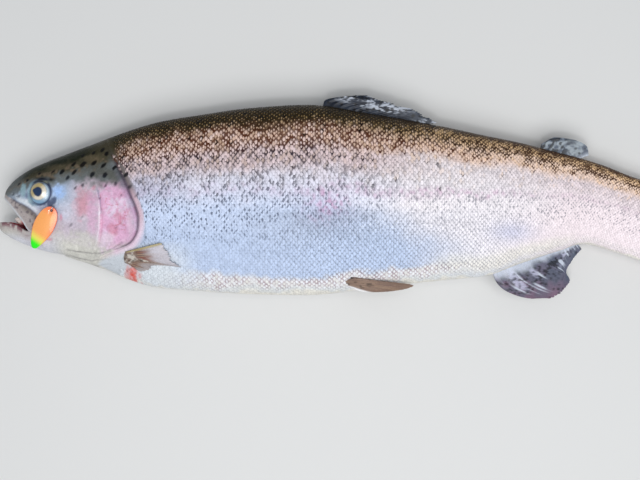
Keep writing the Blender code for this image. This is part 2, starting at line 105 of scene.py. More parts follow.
GILL_OPENING = (
    (67.0, 62.0), (70.0, 44.0), (75.4, 32.0), (79.4, 24.4), (82.2, 19.2), (85.8, 11.8),
    (89.2, 3.7), (92.4, -3.6), (94.2, -10.6), (94.0, -16.8), (92.0, -22.6), (88.4, -27.0),
    (82.0, -30.0), (73.6, -33.4), (64.0, -38.8), (57.0, -60.0),
)
CHEEK_EDGE = ((66.4, 10.4), (67.6, 5.4), (69.4, -3.2), (69.2, -14.6), (67.4, -25.4), (64.0, -33.2))

EYE = (26.4, 6.5)
EYE_RADIUS = 7.8
EYE_HALF_DEPTH = 4.0
EYE_PROUD = 2.0
EYE_TURN = -12
PUPIL_AT = (-0.1, 0.9)
PUPIL_RADIUS = 3.05

DORSAL_ROOT = ((217.0, 62.0, 0.0), (246.0, 58.0, 0.0), (272.0, 52.0, 0.0))
DORSAL_EDGE = (
    (219.5, 70.4, 0.4), (236.5, 73.2, 1.0), (250.0, 73.4, 1.6), (263.0, 70.2, 2.0),
    (277.5, 65.4, 2.2), (290.0, 59.6, 2.4), (298.5, 55.0, 2.4),
)
ADIPOSE_ROOT = ((367.5, 34.0, 0.0), (377.0, 31.5, 0.0), (388.0, 28.0, 0.0))
ADIPOSE_EDGE = (
    (369.0, 41.0, 0.4), (379.0, 45.6, 1.4), (389.0, 44.2, 2.2), (396.6, 39.8, 2.8),
    (398.0, 34.0, 2.8),
)
ANAL_ROOT = ((334.0, -44.0, 0.0), (366.0, -32.0, 0.0), (393.0, -23.0, 0.0))
ANAL_EDGE = (
    (337.5, -54.0, -0.4), (346.0, -61.4, -1.6), (362.0, -65.8, -4.0), (379.0, -65.4, -5.8),
    (391.0, -61.4, -6.4), (399.0, -54.4, -6.6), (391.0, -47.6, -5.2), (395.6, -39.6, -3.8),
    (403.0, -31.0, -1.6),
)
PELVIC_ROOT = ((231.0, -55.0, 12.0), (233.0, -52.6, 15.6), (236.5, -50.4, 18.6))
PELVIC_EDGE = (
    (246.8, -60.6, 10.2), (264.0, -61.2, 11.0), (277.4, -59.4, 11.6), (283.2, -56.6, 12.8),
    (277.0, -55.0, 14.6), (259.0, -53.4, 17.0),
)
PECTORAL_ROOT = ((85.6, -40.6, 17.4), (85.2, -37.2, 18.8), (86.4, -33.2, 20.2))
PECTORAL_EDGE = (
    (98.0, -48.0, 18.4), (106.5, -50.6, 18.4), (112.0, -46.6, 21.0), (117.0, -45.0, 22.4),
    (128.4, -44.8, 23.4), (122.5, -40.6, 25.0), (119.5, -35.2, 26.8), (111.4, -27.0, 28.0),
)
TAIL_ROOT_DEPTH = 27.4
TAIL_FIN_LENGTH = 80.0
TAIL_SPREAD = 49.0
TAIL_FORK = 14.0
TAIL_SAG = 14.8

LURE_MIDDLE = (29.6, -17.2)
LURE_LENGTH = 32.0
LURE_WIDTH = 14.0
LURE_THICKNESS = 0.9
LURE_CUP = 1.6
LURE_CLEARANCE = 3.2
LURE_HEADING = 61
LURE_TILT = -12
LURE_HOLE = 0.9
LURE_HOLE_AT = LURE_LENGTH / 2 - LURE_HOLE - 1.5
RING_RADIUS = 1.7
WIRE_RADIUS = 0.35
HOOK_EYE = 0.95
HOOK_SHANK = 10.0
HOOK_BEND = 2.8
HOOK_POINT = 3.6
HOOK_HANG = radians(50)

# ---------------------------------------------------------------- measures of the looks
SCALE_LENGTH = 3.36  # from one scale to the next along a row, at mid body
SCALE_ROW = 1.94  # from one row to the next, at mid body
TAIL_SCALE = 0.66  # their size on the tail stalk, as a share of that
SCALE_COAT = 0.55  # depth of the scales over the skin
SCALE_ALONG = (-1.0, -0.3, 0.3, 0.72, 0.96, 1.0)  # vertices along one scale
SCALE_ACROSS = (-1.0, -0.86, -0.3, 0.3, 0.86, 1.0)  # and across it
SCALE_PIECES = 3  # to each side
SCALES_START = 68.0  # the first row's s
SCALES_AROUND = 60  # rows of scales tried to each side of mid height
HEAD_END = 112.0  # where the modelled head ends and the trunk's plain rings take over
HEAD_GRAIN = 0.6  # the size of its mesh's cells
OVERLAP = (12.0, 3.0, 1.6)  # the seam's start and end ahead of there, and how deep it dives
BAKE_START = 60.0  # where the scales' UV map starts
BAKE_PATCH = 0.003  # one scale's width in it

# grids of vertices, along and around
HEAD_GRID = (90, 128)
MOUTH_GRID = (30, 48)
JAW_GRID = (50, 60)
TRUNK_GRID = (160, 144)
EYE_GRID = (72, 128)
TONGUE_GRID = (40, 64)
SPOON_GRID = (44, 144)
FIN_ROWS = 54
RAY_COLUMNS = 8  # of vertices from one ray to the next
WIRE_SIDES = 16
SIDES = (("left", 1), ("right", -1))

# ---------------------------------------------------------------- the studio's measures
# name, place in metres, width and power
LAMPS = (
    ("key", (0.1, -0.35, 1.4), 1.3, 16.0),
    ("glint", (-0.1, -0.25, 1.1), 0.12, 1.6),
)
SKY_STRENGTH = 0.3
VIEW_MIDDLE = (216.0, -25.4)  # what the camera looks at, in s and h
VIEW_WIDTH = 439.7
VIEW_LEVEL = 28.0  # the height over the floor at which that width is seen
VIEW_DISTANCE = 750.0


# ---------------------------------------------------------------- colours and materials' values
def tone(red, green, blue):
    """A colour as seen, 0 to 255, turned into the linear values that shaders take."""
    seen = np.array([red, green, blue]) / 255
    return np.where(seen <= 0.04045, seen / 12.92, ((seen + 0.055) / 1.055) ** 2.4)


OLIVE = tone(44, 34, 16)
MAROON = tone(90, 50, 32)
PLUM_GREY = tone(54, 46, 56)
SLATE_BLUE = tone(62, 70, 92)
GOLD = tone(160, 132, 88)
PEACH = tone(230, 196, 178)
ROSE = tone(226, 204, 206)
LILAC = tone(230, 230, 244)
SHADE_LILAC = tone(206, 204, 222)
# pale silver of the lower flank, tinted blue as painted reflection of the sky
SKY_REFLECTION = tone(208, 221, 246)
DEEP_SKY_REFLECTION = tone(192, 207, 234)
PEARL = tone(248, 242, 246)
MILK = tone(222, 228, 234)
CREAM = tone(240, 236, 226)
MAGENTA = tone(200, 146, 186)
WARM_PEARL = tone(250, 236, 240)
FLECK_ROSE = tone(190, 172, 178)
BRIGHT_PEACH = tone(255, 226, 208)
ORANGE_GOLD = tone(248, 206, 158)
DIM_GOLD = tone(108, 90, 56)
SILVER = tone(172, 182, 202)
PALE_VIOLET = tone(206, 208, 232)

CROWN = tone(20, 27, 10)
NAPE = tone(64, 58, 38)
TEMPLE = tone(72, 68, 52)
BROW = tone(110, 116, 118)
STEEL_BLUE = tone(166, 188, 212)
CHEEK = tone(200, 188, 200)
BLUSH = tone(208, 142, 158)
GILL_PINK = tone(222, 172, 204)
THROAT = tone(204, 202, 194)
CHIN = tone(212, 212, 220)
LIP = tone(178, 168, 166)
MOUTH = tone(186, 100, 104)
BLOOD = tone(100, 8, 24)
JAW_RED = tone(112, 52, 70)
STAIN = tone(226, 84, 62)
INK = tone(8, 8, 10)
BLUE_CHEEK = tone(168, 200, 248)
ICE = tone(146, 176, 186)
VIOLET = tone(92, 100, 136)
ROSE_RED = tone(206, 128, 150)
PALE_GILL = tone(228, 206, 222)
EARTH = tone(98, 88, 68)
EARTH_GREY = tone(112, 104, 102)
BRONZE = tone(184, 156, 136)
GROOVE = tone(72, 62, 76)
LIP_BROWN = tone(126, 118, 112)
DEEP_VIOLET = tone(66, 78, 108)
LID = tone(142, 146, 128)
# the upper lip's pale edge, and painted highlights on the head
LIP_EDGE_AND_HIGHLIGHT = tone(224, 230, 236)
SHOULDER = tone(208, 180, 190)
SOCKET = tone(98, 116, 142)
SOCKET_DARK = tone(40, 46, 66)
WHITE = tone(250, 250, 252)

NAVY = tone(14, 20, 34)
SLATE = tone(78, 88, 104)
WET_WHITE = tone(210, 218, 232)
PLUM = tone(116, 96, 116)
ANAL_GREY = tone(96, 98, 116)
ADIPOSE_GREY = tone(150, 160, 168)
FIN_BROWN = tone(110, 88, 82)
FIN_TAN = tone(160, 134, 112)
FIN_RED = tone(128, 58, 50)
RAY_YELLOW = tone(176, 162, 114)

# dark pupil, tinted blue as painted reflection of the sky
PUPIL_AND_SKY_REFLECTION = tone(14, 44, 84)
IRIS_GOLD = tone(190, 170, 118)
IRIS_CREAM = tone(228, 218, 200)
EYE_WHITE = tone(184, 204, 220)
# painted shade on the eye's white
EYE_SHADE_BLUE = tone(130, 168, 196)
TONGUE_PALE = tone(226, 214, 206)

LURE_ORANGE = tone(255, 172, 96)
LURE_YELLOW = tone(240, 230, 100)
LURE_GREEN = tone(40, 250, 20)
LURE_RED = tone(255, 112, 84)
STEEL = tone(188, 190, 196)

# each material's grain, relief, relief size and spread, then the values of its shader
SHADER = ("Roughness", "Specular IOR Level", "Coat Weight", "Coat Roughness", "Metallic")
LOOKS = {
    "wet_skin": ((0.1, 0.25, 1.1, 0.1), (0.4, 0.06, 0.12, 0.08, 0.0)),
    "scales": ((0.08, 0.08, 0.5, 0.08), (0.34, 0.06, 0.1, 0.08, 0.0)),
    "fin": ((0.12, 0.15, 0.7, 0.1), (0.45, 0.25, 0.15, 0.1, 0.0)),
    "eye": ((0.05, 0.02, 0.6, 0.02), (0.2, 0.5, 1.0, 0.02, 0.0)),
    "wet_flesh": ((0.15, 0.3, 0.9, 0.1), (0.3, 0.5, 0.6, 0.08, 0.0)),
    "lure_paint": ((0.03, 0.05, 0.8, 0.05), (0.3, 0.5, 0.7, 0.05, 0.0)),
    "steel": ((0.1, 0.03, 0.3, 0.08), (0.25, 0.5, 0.0, 0.03, 1.0)),
}


# ---------------------------------------------------------------- curves, sections and places
def smooth_curve(knots, values):
    """A curve through the values that is smooth and never overshoots them."""
    x = np.asarray(knots, float)
    y = np.asarray(values, float).reshape(len(x), -1)
    step = np.diff(x)[:, None]
    slope = np.diff(y, axis=0) / step
    tangent = np.empty_like(y)
    tangent[0] = slope[0]
    tangent[-1] = slope[-1]
    before, after = slope[:-1], slope[1:]
    same_way = before * after > 0
    total = np.where(same_way, before + after, 1.0)
    tangent[1:-1] = np.where(same_way, 2 * before * after / total, 0.0)

    def at(t):
        t = np.asarray(t, float)
        i = np.clip(np.searchsorted(x, t) - 1, 0, len(x) - 2)
        u = ((t - x[i]) / step[i, 0])[..., None]
        return (
            (1 + 2 * u) * (1 - u) ** 2 * y[i]
            + u * (1 - u) ** 2 * step[i] * tangent[i]
            + u * u * (3 - 2 * u) * y[i + 1]
            - u * u * (1 - u) * step[i] * tangent[i + 1]
        )

    return at


def path_through(points):
    """A function of 0 to 1 that runs smoothly through the points, by their distance."""
    points = np.asarray(points, float)
    run = np.concatenate([[0], np.cumsum(np.linalg.norm(np.diff(points, axis=0), axis=1))])
    return smooth_curve(run / run[-1], points)


def table_at(table, s):
    """The other columns of a table at s, its first one, held at the table's ends."""
    curve = smooth_curve([row[0] for row in table], [row[1:] for row in table])
    return np.moveaxis(curve(np.clip(s, table[0][0], table[-1][0])), -1, 0)


def column(start, end, count):
    """Even steps from start to end, as a column."""
    return np.linspace(start, end, count)[:, None]


def turns(count):
    """The angles of one full round, as a row."""
    return np.linspace(0, 2 * pi, count, endpoint=False)[None, :]


def rooted(s):
    """The measure that the body's sections are interpolated by: it makes the snout round."""
    return np.maximum(np.asarray(s, float) - SNOUT, 0.0) ** 0.5


_body_at = smooth_curve([rooted(row[0]) for row in BODY], [row[1:] for row in BODY])


def body_at(s, grow=0.0):
    """BODY's other columns at s, with the outline grown outwards."""
    back, belly, half_width, lift, upper, lower = np.moveaxis(_body_at(rooted(s)), -1, 0)
    return back + grow, belly + grow, half_width + grow, lift, upper, lower


def section(s, angle, grow=0.0):
    """h and w on the body's surface; the angle is 0 at the back and pi at the belly."""
    back, belly, half_width, _, upper, lower = body_at(s, grow)
    c, d = np.cos(angle), np.sin(angle)
    power = np.where(c > 0, upper, lower)
    h = np.sign(c) * np.where(c > 0, back, belly) * np.abs(c) ** (2 / power)
    w = np.sign(d) * half_width * np.abs(d) ** (2 / power)
    return h, w


def flank(s, h):
    """Half width of the body at s and h, or 0 beyond its outline."""
    back, belly, half_width, _, upper, lower = body_at(s)
    share = np.where(h > 0, h / back, -h / belly)
    power = np.where(h > 0, upper, lower)
    return half_width * np.maximum(0.0, 1 - np.abs(share) ** power) ** (1 / power)


SHIFT = np.zeros(3)  # where s = 0 and h = 0 lie in the frame, filled in by main()


def place(s, h, w, floor=0.0):
    """Points in fish measures as points of the frame, in metres, none under the floor."""
    s, h, w = (np.asarray(v, float) for v in np.broadcast_arrays(s, h, w))
    radius = BEND_LENGTH / BEND_ANGLE
    turned = np.clip((s - BEND_START) / radius, 0.0, BEND_ANGLE)
    beyond = s - BEND_START - radius * turned
    x = BEND_START + (radius + h) * np.sin(turned) + beyond * np.cos(turned)
    y = (radius + h) * np.cos(turned) - radius - beyond * np.sin(turned)
    lift = body_at(np.minimum(s, BODY_END))[3]
    return np.stack([x, y, np.maximum(lift + w, floor)], -1) * MM + SHIFT


def unplace(points):
    """s, h and w of points of the frame ahead of the tail's bend."""
    s, h, z = np.moveaxis((np.asarray(points) - SHIFT) / MM, -1, 0)
    return s, h, z - body_at(s)[3]


def find_shift():
    """Where fish measures lie in the frame, from the left eye's solid."""
    low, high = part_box("eye_left")
    middle = (np.array(low) + np.array(high)) / 2
    found = middle - place(*EYE, 0.0)
    return np.array([found[0], found[1], 0.0])


# ---------------------------------------------------------------- numbers for painting
def ramp(start, end, value):
    """0 at start, 1 at end, with soft ends; start may be above end."""
    t = np.clip((np.asarray(value, float) - start) / (end - start), 0.0, 1.0)
    return t * t * (3 - 2 * t)


def mix(a, b, share):
    """The colour a with this share of b."""
    share = np.asarray(share, float)[..., None]
    return a * (1 - share) + b * share


def mix_number(a, b, share):
    """As mix, for numbers in place of colours."""
    return a + (b - a) * share


def bump(distance, width):
    """1 on a line or point and soft to either side of it."""
    return np.exp(-((np.asarray(distance) / width) ** 2))


def blob(s, h, middle, radii):
    """1 in the middle of a soft oval."""
    return np.exp(-(((s - middle[0]) / radii[0]) ** 2) - ((h - middle[1]) / radii[1]) ** 2)


def hashed(*cells, seed=0):
    """A fixed pseudo-random number from 0 to 1 for whole-numbered cells."""
    total = np.full(np.broadcast(*cells).shape, seed * 97 + 13, np.uint64)
    for factor, cell in zip((374761393, 668265263, 2246822519), cells):
        low_bits = (np.asarray(cell).astype(np.int64) & 0xFFFFFFFF).astype(np.uint64)
        total += low_bits * np.uint64(factor)
        total = (total ^ (total >> np.uint64(13))) * np.uint64(1274126177)
        total &= np.uint64(0xFFFFFFFF)
    total ^= total >> np.uint64(16)
    return (total & np.uint64(0xFFFFFF)).astype(float) / 0xFFFFFF


def clouds(*where, size=1.0, seed=0):
    """Smooth noise from 0 to 1 with features of about this size."""
    where = [np.asarray(v, float) / size for v in where]
    cells = [np.floor(v).astype(np.int64) for v in where]
    parts = [(v - c) ** 2 * (3 - 2 * (v - c)) for v, c in zip(where, cells)]
    total = 0.0
    for corner in range(2 ** len(where)):
        weight = 1.0
        at = []
        for axis, (cell, part) in enumerate(zip(cells, parts)):
            far = corner >> axis & 1
            weight = weight * (part if far else 1 - part)
            at.append(cell + far)
        total = total + weight * hashed(*at, seed=seed)
    return total


def along(path, s, h, samples=48):
    """Distance from the path, positive on its left, and the share of it at the nearest point."""
    knots = path_through(path)(np.linspace(0, 1, samples))[:, :2]
    starts, steps = knots[:-1], np.diff(knots, axis=0)
    best = np.full(s.shape, np.inf)
    signed = np.zeros(s.shape)
    share = np.zeros(s.shape)
    for i, (start, step) in enumerate(zip(starts, steps)):
        ds, dh = s - start[0], h - start[1]
        t = np.clip((ds * step[0] + dh * step[1]) / (step @ step), 0, 1)
        distance = np.hypot(ds - t * step[0], dh - t * step[1])
        left = step[0] * dh - step[1] * ds
        nearer = distance < best
        best = np.where(nearer, distance, best)
        signed = np.where(nearer, distance * np.where(left >= 0, 1, -1), signed)
        share = np.where(nearer, (i + t) / (samples - 1), share)
    return signed, share


# ---------------------------------------------------------------- meshes and materials
def linked(name, data):
    """A new object of the scene."""
    obj = bpy.data.objects.new(name, data)
    bpy.context.scene.collection.objects.link(obj)
    return obj


def new_piece(name, points, faces, look, paint):
    """A shaded mesh piece from arrays of points and faces.

    paint is the vertices' colours, or several named attributes of three numbers each.
    """
    mesh = bpy.data.meshes.new(name)
    points = np.asarray(points, np.float32).ravel()
    mesh.vertices.add(len(points) // 3)
    mesh.vertices.foreach_set("co", points)
    mesh.loops.add(faces.size)
    mesh.loops.foreach_set("vertex_index", faces.astype(np.int32).ravel())
    mesh.polygons.add(len(faces))
    starts = np.arange(0, faces.size, faces.shape[1], dtype=np.int32)
    mesh.polygons.foreach_set("loop_start", starts)
    mesh.update(calc_edges=True)
    mesh.shade_smooth()
    for label, values in (paint if isinstance(paint, dict) else {"paint": paint}).items():
        layer = mesh.attributes.new(label, "FLOAT_VECTOR", "POINT")
        layer.data.foreach_set("vector", np.asarray(values, np.float32).ravel())
    mesh.materials.append(look)
    obj = linked(name, mesh)
    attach(obj, "root")
    return obj


def grid_faces(rows, columns, wrap=False, start=0):
    """Quads over a grid of vertices kept row by row; wrap closes each row on itself."""
    across = columns if wrap else columns - 1
    i, j = np.meshgrid(np.arange(rows - 1), np.arange(across), indexing="ij")
    k = (j + 1) % columns
    corners = [i * columns + j, i * columns + k, (i + 1) * columns + k, (i + 1) * columns + j]
    return np.stack(corners, -1).reshape(-1, 4) + start


def scratch(name, points, faces):
    """A plain object for modifiers to work on."""
    mesh = bpy.data.meshes.new(name)
    mesh.from_pydata([tuple(p) for p in points], [], [tuple(int(i) for i in f) for f in faces])
    bm = bmesh.new()
    bm.from_mesh(mesh)
    bmesh.ops.recalc_face_normals(bm, faces=bm.faces)
    bm.to_mesh(mesh)
    bm.free()
    return linked(name, mesh)


def scratch_loft(name, rings):
    """A closed body through rings of equally many points."""
    rings = np.asarray(rings)
    rows, columns = rings.shape[:2]
    faces = [tuple(face) for face in grid_faces(rows, columns, wrap=True)]
    faces.append(tuple(range(columns))[::-1])
    faces.append(tuple(range((rows - 1) * columns, rows * columns)))
    return scratch(name, rings.reshape(-1, 3), faces)


def scratch_ball(name, middle, radii):
    """A ball stretched to its radii in millimetres."""
    bpy.ops.mesh.primitive_uv_sphere_add(segments=48, ring_count=24, radius=MM)
    ball = bpy.context.object
    ball.name = name
    for change in (Matrix.Diagonal((*radii, 1)), Matrix.Translation(middle)):
        ball.data.transform(change)
    return ball


def cut(obj, other):
    """Takes the other object's inside away from the object."""
    modifier = obj.modifiers.new("cut", "BOOLEAN")
    modifier.operation = "DIFFERENCE"
    modifier.object = other
    modifier.solver = "EXACT"


def finished(obj):
    """The object's mesh with its modifiers applied."""
    graph = bpy.context.evaluated_depsgraph_get()
    return bpy.data.meshes.new_from_object(obj.evaluated_get(graph))


def arrays(mesh):
    """Points, normals and four-cornered faces of a mesh of quads."""
    points = np.empty(len(mesh.vertices) * 3, np.float32)
    mesh.vertices.foreach_get("co", points)
    normals = np.empty_like(points)
    mesh.vertex_normals.foreach_get("vector", normals)
    faces = np.empty(len(mesh.loops), np.int32)
    mesh.loops.foreach_get("vertex_index", faces)
    return points.reshape(-1, 3).astype(float), normals.reshape(-1, 3), faces.reshape(-1, 4)


def add_node(made, kind, inputs, output, **settings):
    """The output of a new shader node, its inputs set to numbers or linked to other outputs."""
    node = made.node_tree.nodes.new("ShaderNode" + kind)
    for name, value in settings.items():
        setattr(node, name, value)
    for socket, value in inputs.items():
        if isinstance(value, bpy.types.NodeSocket):
            made.node_tree.links.new(value, node.inputs[socket])
        else:
            node.inputs[socket].default_value = value
    return node.outputs[output]


def attribute(made, label):
    """What new_piece() keeps at the vertices under this label."""
    return add_node(made, "Attribute", {}, "Vector", attribute_name=label)


def noise(made, size, detail):
    """Noise with features of about this many millimetres."""
    where = add_node(made, "TexCoord", {}, "Object")
    inputs = {"Scale": 1 / (size * MM), "Detail": detail, "Vector": where}
    return add_node(made, "TexNoise", inputs, "Fac")


def ranged(made, value, start, end, smooth=False):
    """The value carried from one range to another and held within it."""
    inputs = dict(zip(("From Min", "From Max", "To Min", "To Max"), (*start, *end)))
    inputs["Value"] = value
    kind = "SMOOTHSTEP" if smooth else "LINEAR"
    return add_node(made, "MapRange", inputs, "Result", interpolation_type=kind)


def sums(made, operation, *values):
    """The outcome of one operation on numbers or outputs."""
    return add_node(made, "Math", dict(enumerate(values)), "Value", operation=operation)


def material(name, shape, values):
    """A wet, painted surface: its colour is the vertices' paint, broken up by fine grain.

    shape is the strength of that mottling, the bump's depth and size in millimetres, and how
    much the roughness wanders.
    """
    grain, relief, relief_size, spread = shape
    made = bpy.data.materials.new(name)
    made.use_nodes = True
    shader = made.node_tree.nodes["Principled BSDF"]
    for socket, value in zip(SHADER, values):
        shader.inputs[socket].default_value = value
    levels = ranged(made, noise(made, 0.9, 3.0), (0.3, 0.7), (1 - grain, 1 + grain))
    paint = scale_colour(made) if name == "scales" else attribute(made, "paint")
    tinted = add_node(made, "VectorMath", {0: paint, "Scale": levels}, "Vector", operation="SCALE")
    wander = (values[0] - spread, values[0] + spread)
    rough = ranged(made, noise(made, 6.0, 2.0), (0.3, 0.7), wander)
    bumps = {"Distance": relief * MM, "Strength": 1.0, "Height": noise(made, relief_size, 2.0)}
    normal = add_node(made, "Bump", bumps, "Normal")
    for socket, value in (("Base Color", tinted), ("Roughness", rough), ("Normal", normal)):
        made.node_tree.links.new(value, shader.inputs[socket])
    return made


def oval(made, label, ragged, margin):
    """1 inside an oval and 0 outside it, and the third number of the attribute it is kept in."""
    parts = add_node(made, "SeparateXYZ", {"Vector": attribute(made, label)}, "X").node.outputs
    squares = [sums(made, "MULTIPLY", part, part) for part in parts[:2]]
    reach = sums(made, "SQRT", sums(made, "ADD", *squares))
    reach = sums(made, "ADD", reach, ragged)
    return ranged(made, reach, margin, (1.0, 0.0), smooth=True), parts[2]


def scale_colour(made):
    """A dark dash at the scale's base, and on the back a bright mark on a dark scale."""
    ragged = ranged(made, noise(made, 0.8, 1.0), (0.3, 0.7), (-0.35, 0.35))
    dash, amount = oval(made, "dash", ragged, (0.72, 1.28))
    mark, on_back = oval(made, "mark", ragged, (0.55, 1.4))
    around = sums(made, "MULTIPLY", on_back, sums(made, "SUBTRACT", 1.0, mark))
    dash = sums(made, "MULTIPLY", dash, amount)
    dash = sums(made, "MULTIPLY", sums(made, "SUBTRACT", 1.0, on_back), dash)
    colours = {6: attribute(made, "bright"), 7: attribute(made, "dark")}  # a mix node's A and B
    share = {"Factor": sums(made, "ADD", around, dash)}
    return add_node(made, "Mix", {**share, **colours}, 2, data_type="RGBA")


# ---------------------------------------------------------------- the fish's markings
MAXILLA_GROOVE = (
    (4.0, 3.2), (9.5, 0.2), (15.0, -2.2), (21.0, -6.1), (27.0, -12.5), (31.0, -19.5),
)
FOLDS = (
    ((44.5, -32.2), (55.0, -33.6), (66.0, -34.2), (76.0, -31.4), (84.0, -26.8)),
    ((43.0, -35.8), (52.0, -38.0), (62.0, -39.4), (73.0, -39.0)),
    ((52.0, -41.2), (64.0, -43.4), (74.0, -42.6)),
)
NOSTRILS = ((5.2, 6.0), (8.9, 5.0))
# s, h and radius
HEAD_SPOTS = (
    (6.0, 6.0, 1.4), (10.5, 4.5, 1.5), (10.0, 13.0, 1.5), (16.0, 15.5, 1.3), (25.0, 20.0, 1.2),
    (35.0, 21.0, 1.5), (41.5, 20.8, 2.0), (46.0, 16.5, 1.7), (50.5, 20.3, 1.9), (49.5, 26.0, 1.6),
    (56.0, 25.5, 2.2), (55.0, 32.0, 1.4), (64.0, 26.5, 2.0), (63.0, 33.5, 1.5), (69.0, 35.5, 1.6),
    (72.5, 32.5, 1.8), (71.0, 24.5, 1.9), (79.0, 22.8, 1.7), (63.3, 18.3, 2.0), (72.5, 18.0, 2.0),
    (52.0, 9.8, 1.6), (57.0, 11.2, 1.6), (73.0, 10.7, 1.4), (80.0, 11.8, 1.8), (84.0, 4.6, 1.2),
    (69.5, 2.7, 1.2), (57.0, -9.8, 1.4), (48.5, -15.4, 1.5), (80.0, -17.3, 1.2), (84.0, 30.0, 1.5),
    (87.0, 18.5, 2.0), (89.5, 10.0, 1.9), (94.3, 4.3, 1.8), (97.0, 13.8, 1.5),
)
# colour, middle, radii and strength
HEAD_PATCHES = (
    (BLUE_CHEEK, (39.5, 7.0), (6.5, 5.8), 0.95),
    (ICE, (13.5, 8.8), (3.4, 5.8), 0.8),
    (VIOLET, (17.5, 4.6), (2.6, 2.6), 0.6),
    (BLUSH, (57.0, -1.0), (8.0, 14.0), 0.55),
    (BLUSH, (58.0, -3.0), (5.0, 8.0), 0.4),
    (GILL_PINK, (63.5, -8.0), (5.0, 18.0), 0.6),
    (THROAT, (58.0, -25.0), (9.0, 6.0), 0.6),
    (LILAC, (47.0, -6.0), (8.0, 9.0), 0.35),
    (ROSE_RED, (81.5, -9.5), (4.2, 5.0), 0.5),
    (ROSE_RED, (78.0, -18.5), (4.2, 4.6), 0.55),
    (ROSE_RED, (65.0, 9.5), (1.8, 2.4), 0.5),
    (PALE_GILL, (90.5, -13.0), (3.2, 10.0), 0.5),
    (PALE_GILL, (73.0, -24.0), (6.5, 4.4), 0.8),
    (BROW, (72.0, 15.5), (6.0, 2.2), 0.6),
    (EARTH, (63.0, 29.0), (7.0, 4.0), 0.7),
    (BROW, (78.5, 24.5), (6.0, 4.0), 0.7),
    (EARTH, (36.0, 24.0), (9.0, 2.4), 0.4),
    # painted highlight: the bright band below and ahead of the eye
    (LIP_EDGE_AND_HIGHLIGHT, (18.0, 0.6), (6.0, 2.6), 0.85),
    # painted reflection of the lure on the wet skin beside it
    (ROSE_RED, (42.0, -9.5), (1.4, 3.0), 0.6),
    (ROSE_RED, (32.0, -25.0), (2.8, 1.2), 0.5),
)


def height_share(s, h):
    """Where h lies between the belly's edge at -1 and the back's at 1."""
    back, belly = body_at(np.minimum(s, BODY_END))[:2]
    return np.clip(np.where(h > 0, h / back, h / belly), -1, 1)


